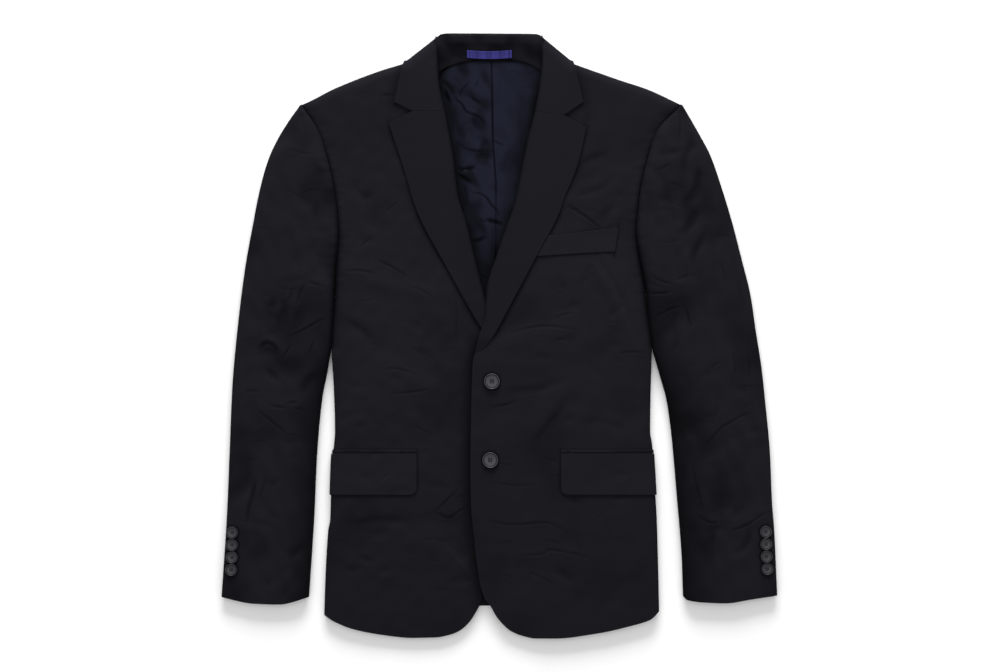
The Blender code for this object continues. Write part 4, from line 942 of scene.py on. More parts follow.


# ---------------------------------------------------------------------------------------------------------
# Gloom: painted shade, for how little light reaches the cloth in creases and hollows and beside what lies on it.


def upright(curve, low, high, count=24):
    """The line of a (y, x) curve between two heights."""
    y = np.linspace(low, high, count)
    return np.stack([curve(y), y], axis=-1)


def round_button(x, y, diameter):
    turn = np.linspace(0.0, 2 * math.pi, 25)
    return np.stack([x + diameter / 2.0 * np.cos(turn), y + diameter / 2.0 * np.sin(turn)], axis=-1)


def hollow(side, piece, x, y):
    """How far the folds sink below the cloth's mean face."""
    seed, large, small = (FRONT_SEED, 0.7, 0.22) if piece == "front" else (SLEEVE_SEED, 1.0, 0.3)
    depth = folds(side, piece, x, y) + wander(x, y, seed[side], large, small)
    return np.clip(-depth, 0.0, 1.5)


def armhole_gloom(side, x, y):
    """Painted shade in the dark valley of the armhole seam, and along the fold that goes on under it."""
    away = np.abs(x - sleeve_inner(side, y))
    deep = armhole_shade(y) * np.exp(-((away / ARMHOLE_SHADE_WIDTH) ** 2))
    wide = ARMHOLE_DIM * ease((150.0 - y) / 60.0) * np.exp(-((away / ARMHOLE_DIM_WIDTH) ** 2))
    return dimmed(deep, wide)


# Painted shade on a front: in its creases and hollows, on the lower front and the shoulders, beside the right front's
# edge, along the armhole, and beside the lapel, leaf, flap, jet, buttons and welt.
def front_gloom(side, x, y):
    lines = LINES[side]
    creased = CREASE_GLOOM * crease_shade(side, "front", x, y) + HOLLOW_GLOOM["front"] * hollow(side, "front", x, y)
    shades = [creased * bare(side, x, y), LOW_GLOOM * ease((-40.0 - y) / 140.0), HIGH_GLOOM * ease((y - 130.0) / 120.0)]
    if side == "left":
        edge = LINES["right"]["front_edge"](y) - x
        shades.append(EDGE_GLOOM * ease((30.0 - y) / 50.0) * np.exp(-((np.maximum(edge, 0.0) / EDGE_REACH) ** 2)))
    above = armhole_gloom(side, x, y) * ease((y - ARMPIT_Y + 6.0) / 12.0)
    shades.append(above)
    tip = lines["lapel_out"](LAPEL_TIP_Y[side])
    shades.append(dim_along(x, y, upright(lines["lapel_out"], 0.0, 150.0), *LAPEL_GLOOM["low"]))
    shades.append(dim_along(x, y, upright(lines["lapel_out"], 150.0, LAPEL_TIP_Y[side]), *LAPEL_GLOOM["high"]))
    shades.append(dim_along(x, y, [(tip, LAPEL_TIP_Y[side]), NOTCH[side]], *LAPEL_GLOOM["notch"]))
    shades.append(dim_along(x, y, upright(lines["leaf_out"], 290.0, 343.0, 6), *LAPEL_GLOOM["leaf"]))
    front_x, foot_y, top_y = FLAP_FRONT_X[side], FLAP_TOP_Y - FLAP_DEPTH, FLAP_TOP_Y + JET_DEPTH
    shades.append(dim_along(x, y, [(front_x, foot_y + FLAP_CORNER), (front_x, top_y)], *FLAP_GLOOM))
    shades.append(dim_along(x, y, [(front_x, top_y + 0.6), (SIGN[side] * 240.0, top_y + 0.6)], *JET_GLOOM))
    if side == "right":
        for place in FRONT_BUTTONS:
            shades.append(dim_along(x, y, round_button(*place, FRONT_BUTTON), *BUTTON_GLOOM))
        for edge in WELT_GLOOM:
            shades.append(dim_along(x, y, welt_path(edge), *WELT_GLOOM[edge]))
    return dimmed(*shades)


def welt_path(edge):
    """An edge of the breast welt as (x, y) points, out to the welt's own end."""
    if edge == "end":
        return [(x, y) for y, x in BREAST_WELT["end"] if 90.0 < y < 145.0]
    return [(x, y) for x, y in BREAST_WELT[edge] if x < 148.0]


# Painted shade on a top sleeve: in its creases and hollows, along the armhole, on its inner side, at its outer fold,
# uneven at random all over, and round the cuff buttons.
def sleeve_gloom(side, x, y):
    lines = LINES[side]
    inner = SIGN[side] * (x - sleeve_inner(side, y))
    outer = SIGN[side] * (lines["sleeve_out"](y) - x)
    shades = [
        CREASE_GLOOM * crease_shade(side, "sleeve", x, y),
        HOLLOW_GLOOM["sleeve"] * hollow(side, "sleeve", x, y),
        armhole_gloom(side, x, y),
        INNER_GLOOM * ease((40.0 - y) / 90.0) * np.exp(-((np.maximum(inner, 0.0) / INNER_REACH[side]) ** 2)),
        SLEEVE_UNEVEN_SHADE * np.clip(0.5 + wander(x, y, 83, 0.15, 0.6), 0.0, 1.2),
        OUTER_GLOOM * np.exp(-((outer / 1.6) ** 2)),
    ]
    for place in CUFF_BUTTONS[side]:
        shades.append(dim_along(x, y, round_button(*place, CUFF_BUTTON), *BUTTON_GLOOM))
    return dimmed(*shades)


def facing_gloom(side, x, y):
    """A lapel's or leaf's: a little all over, and more where it rolls under."""
    off_line = SIGN[side] * (x - LINES[side]["front_edge"](y))
    return FACING_GLOOM + 0.35 * np.exp(-((np.maximum(off_line, 0.0) / 2.6) ** 2)) * ease((y + 10.0) / 60.0)


def stand_gloom(x, y):
    """The stand leans back from the light, most at its ends."""
    blotches = np.clip(0.3 * wander(x, y, 83, 0.5, 0.9), -0.12, 0.3)
    shades = [STAND_GLOOM + 0.12 * ease((y - 352.0) / 12.0) + blotches]
    for lines in LINES.values():
        shades.append(dim_along(x, y, upright(lines["front_edge"], 325.0, 374.0, 9), *STAND_END_GLOOM))
    foot, top = LOOP["foot"] - LOOP["sag"] / 2.0, LOOP["top"] - LOOP["sag"] / 2.0
    for level_y in (foot, top):
        shades.append(dim_along(x, y, [(LOOP["left"], level_y), (LOOP["right"], level_y)], 1.8, 0.45))
    shades.append(dim_along(x, y, STAND_FOOT, 3.0, 0.4))
    return dimmed(*shades)


# Painted shade on the lining: along the roll lines and under the stand, in its creases and hollows, along the centre
# seam, and uneven at random, more on its rumpled side.
def lining_gloom(x, y):
    shades = [dim_along(x, y, LINING_CORNER, 3.6, 0.8), dim_along(x, y, STAND_FOOT, 3.4, 0.35)]
    uneven = np.clip(1.0 + 0.5 * wander(x, y, 75, 0.4, 0.5), 0.55, 1.35)
    for lines in LINES.values():
        line = upright(lines["front_edge"], 18.0, 340.0, 40)
        shades.append(dim_along(x, y, line, *LINING_EDGE) * uneven)
        shades.append(dim_along(x, y, line, *LINING_SIDE) * uneven)
    creased = [crease(x, y, kind, s, line, shade=True) for kind, s, *line in CREASES["both", "lining"]]
    shades.append(LINING_CREASE_GLOOM * np.maximum.reduce(creased))
    for at_x, at_y, half_x, half_y, strength in LINING_HOLLOWS:
        away = ((x - at_x) / half_x) ** 2 + ((y - at_y) / half_y) ** 2
        shades.append(strength * np.exp(-away))
    seam = seam_shade(y) * np.exp(-(((x - lining_seam(y)) / 1.15) ** 2))
    rumpled = ease((lining_seam(y) - x + 6.0) / 16.0)
    # Painted shade, uneven at random, for the shading of the lining's rumpling, more on its rumpled side.
    uneven_shade = np.clip(0.12 + 0.8 * wander(x, y, 77, 0.2, 0.75), 0.0, 0.7) * (0.3 + 0.7 * rumpled)
    return dimmed(*shades, seam, uneven_shade)


# ---------------------------------------------------------------------------------------------------------
# Grids of stations and the cloth made from them.

CUT_BAND = (0.0, 0.12, 0.32, 0.6, 1.0, 1.6)  # distances from a cut edge
BAND_END = 2.4
BAND_SHARE = 0.3  # the most of a piece's width that such a band takes
ROLL_ANGLES = (80, 72, 64, 56, 48, 40, 32, 24, 16, 8)
TURN_ANGLES = (-84, -70, -52, -34, -17, 0, 15, 30, 44, 57, 69, 80)
LIP_DROPS = ((0.0, 1.0), (0.12, 0.5), (0.25, 0.0))  # distance from a seam, share of the lip's depth


def columns(count, start="cut", end="cut", crowd=1.0):
    """Rows of (fixed, start roll, end roll, width, at a seam, lip, turn): what a column's place adds up from.

    An edge is cut, rolled round to its neighbour, or turned: rolled right under."""
    sines = [1.0 - math.sin(math.radians(angle)) for angle in ROLL_ANGLES]
    first = BAND_END if start == "cut" else 0.0
    last = BAND_END if end == "cut" else 0.0
    found = []
    if start == "cut":
        found += [(at, 0, 0, 0, 0, 0, 90) for at in CUT_BAND]
    elif start == "roll":
        found += [(0, 0, 0, 0, at, drop, 90) for at, drop in LIP_DROPS]
        found += [(0, share, 0, 0, 0.25 * (1 - share), 0, 90) for share in sines]
    else:
        found += [(0, 1 - math.cos(math.radians(angle)), 0, 0, 0, 0, angle) for angle in TURN_ANGLES]
    for k in range(count):
        s = (k / (count - 1)) ** crowd
        found.append((first * (1 - s) - last * s, 1 - s, -s, s, 0, 0, 90))
    if end == "cut":
        found += [(-at, 0, 0, 1, 0, 0, 90) for at in reversed(CUT_BAND)]
    else:
        found += [(0, 0, -share, 1, -0.25 * (1 - share), 0, 90) for share in reversed(sines)]
        found += [(0, 0, 0, 1, -at, drop, 90) for at, drop in reversed(LIP_DROPS)]
    return np.array(found, float).T


def rows(count, foot="cut", top="cut", roll=0.0, crowd=1.0):
    """Rows of (share, offset, lip) from a column's foot to its top."""
    last = BAND_END if top == "cut" else roll
    first = BAND_END if foot == "cut" else 0.0
    found = [(0, at, 0) for at in CUT_BAND] if foot == "cut" else []
    for k in range(count):
        s = 1 - (1 - k / (count - 1)) ** crowd
        found.append((s, first * (1 - s) - last * s, 0))
    if top == "cut":
        found += [(1, -at, 0) for at in reversed(CUT_BAND)]
    else:
        found += [(1, -roll * (1 - math.sin(math.radians(angle))), 0) for angle in reversed(ROLL_ANGLES)]
        found += [(1, 0, 0), (1, 0, 0.5), (1, 0, 1.0)]
    return np.array(found, float)


def spread(across_table, up_table, start, end, foot, top, rolls=None, lifted=None):
    """The (x, y) of every station of a grid, between two lines that run up it and two that run across."""
    fixed, at_start, at_end, of_width, at_seam, _, _ = across_table

    def across(y):
        a, b = start(y), end(y)
        width = np.abs(b - a)
        first, last = rolls(y) if rolls else (0.0, 0.0)
        narrow = np.minimum(1.0, BAND_SHARE * width / BAND_END)
        run = fixed * narrow + at_start * first + at_end * last + of_width * width
        if lifted:
            run = run + at_seam * (1.0 - lifted(y))
        return a + np.sign(b - a) * run

    def meet(curve):
        low, high = np.full(fixed.shape, -Y_REACH), np.full(fixed.shape, Y_REACH)
        for _ in range(40):
            middle = (low + high) / 2.0
            below = middle < curve(across(middle))
            low, high = np.where(below, middle, low), np.where(below, high, middle)
        return (low + high) / 2.0

    low, high = meet(foot), meet(top)
    share, offset = up_table[:, :1], up_table[:, 1:2]
    y = low * (1 - share) + high * share + offset
    return across(y), y


def thinned(count):
    """The stations that the hidden inner face keeps: all near its ends and every third between them."""
    return np.array([k for k in range(count) if k < 14 or k > count - 15 or k % 3 == 0])


def cells(index):
    """The four corners of each cell of a grid."""
    return np.stack(
        [index[:-1, :-1], index[:-1, 1:], index[1:, 1:], index[1:, :-1]], axis=-1
    ).reshape(-1, 4)


def shell(name, points, thickness, materials, rounded, faces_up=True, inner=None, shade=None):
    """A closed sheet of cloth on its outer face's grid, its edges rounded where they are free or sewn.

    rounded is a weight for each border: start, end, foot, top. inner picks the faces that take the second
    material."""
    count_v, count_u = points.shape[:2]
    across = np.gradient(points, axis=1)
    up = np.gradient(points, axis=0)
    normal = np.cross(across, up)
    length = np.linalg.norm(normal, axis=2, keepdims=True)
    normal = normal / np.maximum(length, 1e-9)
    flipped = (np.median(normal[..., 2]) > 0) != faces_up
    if flipped:
        normal = -normal
    step_u = np.linalg.norm(np.diff(points, axis=1), axis=2)
    step_v = np.linalg.norm(np.diff(points, axis=0), axis=2)
    arc_u = np.concatenate([np.zeros((count_v, 1)), np.cumsum(step_u, axis=1)], axis=1)
    arc_v = np.concatenate([np.zeros((1, count_u)), np.cumsum(step_v, axis=0)], axis=0)
    reach = ROUNDING * thickness
    thin = np.zeros((count_v, count_u))
    for distance, weight in zip((arc_u, arc_u[:, -1:] - arc_u, arc_v, arc_v[-1:] - arc_v), rounded):
        thin = np.maximum(thin, (1.0 - rolled(distance, reach)) * EDGE_THINS * weight)
    half = thickness / 2.0 * (1.0 - thin)[..., None]
    middle = points - normal * thickness / 2.0
    keep_v, keep_u = thinned(count_v), thinned(count_u)
    outer = np.arange(count_v * count_u).reshape(count_v, count_u)
    inner_face = count_v * count_u + np.arange(len(keep_v) * len(keep_u)).reshape(len(keep_v), len(keep_u))
    full = np.full((count_v, count_u), -1)
    full[np.ix_(keep_v, keep_u)] = inner_face
    below_points = (middle - normal * half)[np.ix_(keep_v, keep_u)]
    verts = np.concatenate([(middle + normal * half).reshape(-1, 3), below_points.reshape(-1, 3)])
    quads, below = cells(outer), cells(inner_face)[:, ::-1]
    walls = []
    last_v, last_u = count_v - 1, count_u - 1
    around = (
        [(0, k) for k in range(count_u)]
        + [(k, last_u) for k in range(1, count_v)]
        + [(last_v, k) for k in range(last_u - 1, -1, -1)]
        + [(k, 0) for k in range(last_v - 1, -1, -1)]
    )
    run = [around[0]]
    for place in around[1:]:
        run.append(place)
        if full[place] >= 0:
            walls.append([full[run[0]], full[run[-1]], *(outer[at] for at in reversed(run))])
            run = [place]
    if flipped:
        quads, below = quads[:, ::-1], below[:, ::-1]
        walls = [wall[::-1] for wall in walls]
    corners = np.concatenate([quads.ravel(), below.ravel(), *(np.array(wall) for wall in walls)])
    sizes = np.concatenate(
        [np.full(len(quads) + len(below), 4), np.array([len(wall) for wall in walls])]
    ).astype(np.int32)
    starts = np.concatenate([[0], np.cumsum(sizes)[:-1]]).astype(np.int32)

    mesh = bpy.data.meshes.new(name)
    mesh.vertices.add(len(verts))
    mesh.vertices.foreach_set("co", (verts * MM).astype(np.float32).ravel())
    mesh.loops.add(len(corners))
    mesh.loops.foreach_set("vertex_index", corners.astype(np.int32))
    mesh.polygons.add(len(sizes))
    mesh.polygons.foreach_set("loop_start", starts)
    if inner is not None:
        picked = np.zeros(len(sizes), np.int32)
        at = np.ix_(keep_v[:-1], keep_u[:-1])
        picked[len(quads) : len(quads) + len(below)] = inner(arc_v[at].ravel(), arc_u[at].ravel())
        mesh.polygons.foreach_set("material_index", picked)
    mesh.update(calc_edges=True)
    layer = mesh.uv_layers.new(name="cloth")
    uv = np.stack([arc_u, arc_v], axis=-1) * MM
    uv = np.concatenate([uv.reshape(-1, 2), uv[np.ix_(keep_v, keep_u)].reshape(-1, 2)])[corners]
    layer.data.foreach_set("uv", uv.astype(np.float32).ravel())
    if shade is not None:
        gloom = mesh.attributes.new("gloom", "FLOAT", "POINT")
        gloom.data.foreach_set("value", np.concatenate([shade.ravel(), np.zeros(len(verts) - shade.size)]))
    for made in materials:
        mesh.materials.append(made)
    mesh.shade_smooth()
    piece = bpy.data.objects.new(name, mesh)
    bpy.context.scene.collection.objects.link(piece)
    area = step_u[:-1] * (step_v[:, :-1] + step_v[:, 1:]) / 2.0
    cut = (arc_u.max() * MM, arc_v.max() * MM, area.sum() * MM * MM)
    return piece, cut


def sew(node, points, thickness, materials, slot, rounded, rests_on, **options):
    """A cloth piece in place of its solid."""
    held = options.pop("held", "laid")
    piece, (width, length, area) = shell(f"{node}_cloth", points, thickness, materials, rounded, **options)
    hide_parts(node)
    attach(piece, "root")
    width, length = max(width, LEAST_CUT), max(length, LEAST_CUT)
    area = min(max(area, 0.31 * width * length), width * length)
    return piece


def raised(x, y, z, lips, faces_up=True):
    """The grid's points, with its lips turned down, or up on what faces down."""
    return np.stack([x, y, z - LIP * lips if faces_up else z + LIP * lips], axis=-1)


def lips_of(across_table, up_table, lifted, y):
    return np.maximum(lifted(y) * across_table[5], up_table[:, 2:3])


# ---------------------------------------------------------------------------------------------------------
# Materials.


def linear(code):
    """The linear RGB of an sRGB hex colour."""
    parts = [int(code[i : i + 2], 16) / 255 for i in (1, 3, 5)]
    return (*[v / 12.92 if v <= 0.04045 else ((v + 0.055) / 1.055) ** 2.4 for v in parts], 1.0)


def add(made, kind, inputs=None, **settings):
    """A node with its inputs set: each a value or another node's output."""
    node = made.node_tree.nodes.new(kind)
    for key, value in settings.items():
        setattr(node, key, value)
    for key, value in (inputs or {}).items():
        if isinstance(value, bpy.types.NodeSocket):
            made.node_tree.links.new(value, node.inputs[key])
        else:
            node.inputs[key].default_value = value
    return node


def substance(name, **values):
    """A new material and its shader, with even values set on the shader itself."""
    made = bpy.data.materials.new(name)
    made.use_nodes = True
    shader = made.node_tree.nodes["Principled BSDF"]
    for key, value in values.items():
        shader.inputs[key.replace("_", " ")].default_value = value
    return made, shader


def wire(made, shader, **sources):
    for key, value in sources.items():
        made.node_tree.links.new(value, shader.inputs[key.replace("_", " ")])


def gloomy(made, colour):
    """The colour, darkened toward near black by the gloom attribute: painted shade in creases and hollows, along seams
    and beside edges.
    """
    gloom = add(made, "ShaderNodeAttribute", attribute_name="gloom")
    share = add(
        made,
        "ShaderNodeMath",
        {0: gloom.outputs["Fac"], 1: GLOOM},
        operation="MULTIPLY",
        use_clamp=True,
    )
    dark = add(
        made,
        "ShaderNodeMix",
        {"Factor": share.outputs[0], "A": colour, "B": (0.0008, 0.0008, 0.0012, 1.0)},
        data_type="RGBA",
    )
    return dark.outputs["Result"]


def worsted_cloth():
    """Worsted wool twill, yarn-dyed near black with a little lighter fibre in it, pressed and matt."""
    made, shader = substance(
        "worsted wool twill, pressed",
        Roughness=0.85,
        Specular_IOR_Level=0.03,
        Sheen_Weight=0.02,
        Sheen_Roughness=0.5,
    )
    shader.inputs["Sheen Tint"].default_value = linear("#8c8c98")
    place = add(made, "ShaderNodeTexCoord")
    fibre = add(made, "ShaderNodeTexNoise", {"Vector": place.outputs["UV"], "Scale": 900.0, "Detail": 3.0})
    cloudy = add(made, "ShaderNodeTexNoise", {"Vector": place.outputs["Object"], "Scale": 9.0, "Detail": 2.0})
    shade = add(
        made,
        "ShaderNodeMix",
        {"Factor": fibre.outputs["Fac"], "A": linear("#131216"), "B": linear("#1f1e23")},
        data_type="RGBA",
    )
    worn = add(
        made,
        "ShaderNodeMix",
        {"Factor": cloudy.outputs["Fac"], "A": shade.outputs["Result"], "B": linear("#1a191e")},
        data_type="RGBA",
    )
    # Real twill of this kind has about 0.5 mm between its ribs; drawn at 0.9 mm, which the picture can hold.
    twill = add(
        made,
        "ShaderNodeTexWave",
        {"Vector": place.outputs["UV"], "Scale": 494.0, "Distortion": 0.6, "Detail": 1.0},
        bands_direction="DIAGONAL",
    )
    relief = add(
        made, "ShaderNodeBump", {"Height": twill.outputs["Fac"], "Strength": 0.22, "Distance": 0.00012}
    )
    slub = add(
        made,
        "ShaderNodeBump",
        {"Height": fibre.outputs["Fac"], "Strength": 0.25, "Distance": 0.00015, "Normal": relief.outputs[0]},
    )
    wire(made, shader, Base_Color=gloomy(made, worn.outputs["Result"]), Normal=slub.outputs[0])
    return made


def lining_cloth():
    """Navy viscose satin lining, calendered, with a soft sheen along its threads."""
    made, shader = substance("navy viscose satin lining", Roughness=0.4, Specular_IOR_Level=0.03)
    place = add(made, "ShaderNodeTexCoord")
    thread = add(made, "ShaderNodeTexNoise", {"Vector": place.outputs["UV"], "Scale": 1400.0, "Detail": 2.0})
    shade = add(
        made,
        "ShaderNodeMix",
        {"Factor": thread.outputs["Fac"], "A": linear("#12131e"), "B": linear("#1c1f2d")},
        data_type="RGBA",
    )
    relief = add(
        made, "ShaderNodeBump", {"Height": thread.outputs["Fac"], "Strength": 0.15, "Distance": 0.0001}
    )
    wire(made, shader, Base_Color=gloomy(made, shade.outputs["Result"]), Normal=relief.outputs[0])
    return made


def tape_cloth():
    """Blue-violet polyester tape, woven in narrow ribs."""
    made, shader = substance("woven polyester tape", Roughness=0.6, Specular_IOR_Level=0.12)
    place = add(made, "ShaderNodeTexCoord")
    # Ribs drawn 0.9 mm apart; a real tape has about 0.6 mm.
    rib = add(
        made,
        "ShaderNodeTexWave",
        {"Vector": place.outputs["UV"], "Scale": 349.0, "Distortion": 0.4},
        bands_direction="X",
    )
    shade = add(
        made,
        "ShaderNodeMix",
        {"Factor": rib.outputs["Fac"], "A": linear("#2b2862"), "B": linear("#423e90")},
        data_type="RGBA",
    )
    relief = add(made, "ShaderNodeBump", {"Height": rib.outputs["Fac"], "Strength": 0.5, "Distance": 0.0002})
    wire(made, shader, Base_Color=gloomy(made, shade.outputs["Result"]), Normal=relief.outputs[0])
    return made


def button_resin():
    """Cast polyester resin, dyed dark grey, turned and tumbled to a satin polish."""
    made, shader = substance("cast polyester resin, tumbled", Roughness=0.3, Specular_IOR_Level=0.25)
    place = add(made, "ShaderNodeTexCoord")
    swirl = add(
        made,
        "ShaderNodeTexNoise",
        {"Vector": place.outputs["Object"], "Scale": 160.0, "Detail": 3.0, "Distortion": 1.5},
    )
    shade = add(
        made,
        "ShaderNodeMix",
        {"Factor": swirl.outputs["Fac"], "A": linear("#302f34"), "B": linear("#403f44")},
        data_type="RGBA",
    )
    wire(made, shader, Base_Color=gloomy(made, shade.outputs["Result"]))
    return made


worsted = worsted_cloth()
lining_satin = lining_cloth()
tape = tape_cloth()
resin = button_resin()
thread, _ = substance(
    "spun polyester thread", Base_Color=linear("#16161b"), Roughness=0.7, Sheen_Weight=0.3
)


# ---------------------------------------------------------------------------------------------------------
# Pieces.

ALONG_HEM = 30.0  # the cloth turned up inside the hem
FACING_WIDTH = 80.0


def inside_of(hem=ALONG_HEM, facing=0.0):
    """Picks the inner faces that the lining covers."""
    return lambda up, across: (up > hem) & (across > facing)


def turn_at(y, foot):
    return TURN_LEAST + (TURN_MOST - TURN_LEAST) * ease((y - foot) / TURN_RUN)


def fronts():
    """Each front runs from its front edge to the side fold, the armhole seam and the shoulder."""
    across_table = columns(134, end="roll")
    up_table = rows(464, top="roll", roll=SHOULDER_ROLL)
    for side, lines in LINES.items():
        sign = SIGN[side]

        def start(y, lines=lines, sign=sign):
            inside = FRONT_INSIDE * turn_at(y, LAPEL_FOOT_Y + 8.0) * ease((y - LAPEL_FOOT_Y - 4.0) / 10.0)
            return lines["front_edge"](y) + sign * inside

        def end(y, lines=lines, sign=sign):
            return lines["side_edge"](y) - sign * (SEAM_GAP / 2.0) * (1.0 - lift(y))

        x, y = spread(
            across_table,
            up_table,
            start,
            end,
            lines["hem"],
            lines["shoulder"],
            rolls=lambda y: (0.0, armhole_roll(y)),
            lifted=lift,
        )
        z = front_height(side, x, y)
        lips = lips_of(across_table, up_table, lift, y)
        sew(
            f"front_{side}",
            raised(x, y, z, lips),
            CLOTH,
            (worsted, lining_satin),
            "worsted",
            (1.0, 1.0 - lift(y), 1.0, 0.3),
            [f"back_{side}", f"side_panel_{side}"],
            inner=inside_of(facing=FACING_WIDTH),
            shade=front_gloom(side, x, y),
        )


def side_panels():
    """Each side panel wraps round the side fold from the front's edge and lies under, to the back's seam."""
    across_table = columns(24, end="roll")
    up_table = rows(110)
    for side, lines in LINES.items():
        sign = SIGN[side]

        def seam(y, side=side, sign=sign):
            return side_panel_seam[side](y) + sign * SEAM_GAP / 2.0

        def edge(y, lines=lines, sign=sign):
            return lines["side_edge"](y) - sign * (SEAM_GAP / 2.0) * (1.0 - lift(y))

        x, y = spread(
            across_table,
            up_table,
            seam,
            edge,
            back_hem,
            level(SIDE_PANEL_TOP_Y),
            rolls=lambda y, seam=seam, edge=edge: (
                0.0,
                np.minimum(armhole_roll(y), PANEL_ROLL_SHARE * abs(edge(y) - seam(y))),
            ),
            lifted=lift,
        )
        z = under_height(side, x, y)
        lips = lips_of(across_table, up_table, lift, y)
        sew(
            f"side_panel_{side}",
            raised(x, y, z, lips, False),
            CLOTH,
            (worsted, lining_satin),
            "worsted",
            (1.0, 1.0 - lift(y), 1.0, 1.0),
            ["floor"],
            faces_up=False,
            inner=inside_of(),
        )


def backs():
    """The two halves of the back, joined at the centre-back seam."""
    across_table = columns(42)
    up_table = rows(140, top="roll", roll=SHOULDER_ROLL)
    for side, lines in LINES.items():
        sign = SIGN[side]
        neck = smooth(BACK_NECK[side])

        def outer(y, side=side, sign=sign):
            edge = np.where(y <= SIDE_PANEL_TOP_Y, side_panel_seam[side](y), LINES[side]["side_edge"](y))
            return edge - sign * SEAM_GAP / 2.0

        def top(x, lines=lines, neck=neck):
            return np.where(abs(x - CENTRE_X) < NECK_HALF, neck(x), lines["shoulder"](x))

        x, y = spread(
            across_table, up_table, level(CENTRE_X + sign * SEAM_GAP / 2.0), outer, back_hem, top
        )
        z = under_height(side, x, y)
        lips = np.broadcast_to(up_table[:, 2:3], x.shape)
        sew(
            f"back_{side}",
            raised(x, y, z, lips, False),
            CLOTH,
            (worsted, lining_satin),
            "worsted",
            (1.0, 1.0, 1.0, 0.3),
            ["floor", "collar_fall"],
            faces_up=False,
            inner=inside_of(),
        )


def sleeves():
    """Two-piece sleeves: the top sleeve shows, the under sleeve lies on the floor."""
    for side, lines in LINES.items():
        sign = SIGN[side]

        def inner(y, side=side, sign=sign):
            gap = (SEAM_GAP / 2.0) * (1.0 - lift(y)) - CAP_OVERLAP * ease((y - 232.0) / 16.0)
            return sleeve_inner(side, y) + sign * gap

        shared = {
            "start": inner,
            "end": lines["sleeve_out"],
            "foot": lines["cuff"],
            "top": level(CAP_TOP_Y),
            "rolls": lambda y, side=side: sleeve_rolls(side, y),
            "lifted": lift,
        }
        for node, count, tall, face, faces_up in (
            (f"top_sleeve_{side}", 84, 420, sleeve_height, True),
            (f"under_sleeve_{side}", 22, 120, sleeve_under_height, False),
        ):
            across_table = columns(count, start="roll", end="roll")
            up_table = rows(tall, top="roll", roll=CAP_ROLL)
            x, y = spread(across_table, up_table, **shared)
            z = face(side, x, y)
            lips = lips_of(across_table, up_table, lift, y)
            sew(
                node,
                raised(x, y, z, lips, faces_up),
                CLOTH,
                (worsted, lining_satin),
                "worsted",
                (1.0 - lift(y), 0.0, 1.0, 0.0),
                [f"under_sleeve_{side}"] if faces_up else ["floor"],
                faces_up=faces_up,
                inner=inside_of(),
                shade=sleeve_gloom(side, x, y) if faces_up else None,
            )


def turned(side, x, y, z, across_table, under, foot):
    """Bends a facing's first columns round the roll line and under the front's edge."""
    angle = np.radians(across_table[6])
    at_top = int(np.argmax(across_table[6] >= 90))
    bend = across_table[6] < 90
    top = z[:, at_top : at_top + 1]
    half = (top - under[:, at_top : at_top + 1]) / 2.0
    curled = top - half + half * np.sin(angle)
    return np.where(bend, curled, z)


def lapels():
    """The turned facings, which lie on the fronts from the gorge to the break."""
    across_table = columns(34, start="turn")
    up_table = rows(150)
    for side, lines in LINES.items():
        x, y = spread(
            across_table,
            up_table,
            lines["front_edge"],
            lines["lapel_out"],
            lines["lapel_foot"],
            lines["lapel_top"],
            rolls=lambda y, side=side: (
                np.minimum(
                    turn_at(y, LAPEL_FOOT_Y),
                    0.3 * abs(LINES[side]["lapel_out"](y) - LINES[side]["front_edge"](y)),
                ),
                0.0,
            ),
        )
        z = lapel_height(side, x, y)
        under = front_height(side, x, y, 0.3) - CLOTH - LIES_ON - FACING
        if side == "right":
            under = np.where(y < 60.0, np.maximum(under, 11.6), under)
        stands = ease((y - LAPEL_FOOT_Y) / 12.0)
        under = np.minimum(z - 0.5, under * stands + (z - 1.0) * (1.0 - stands))
        z = turned(side, x, y, z, across_table, under, LAPEL_FOOT_Y)
        sew(
            f"lapel_{side}",
            raised(x, y, z, 0.0),
            FACING,
            (worsted,),
            "worsted",
            (0.6, 1.0, 0.0, 0.2),
            [f"front_{side}"],
            held="folded",
            shade=facing_gloom(side, x, y),
        )


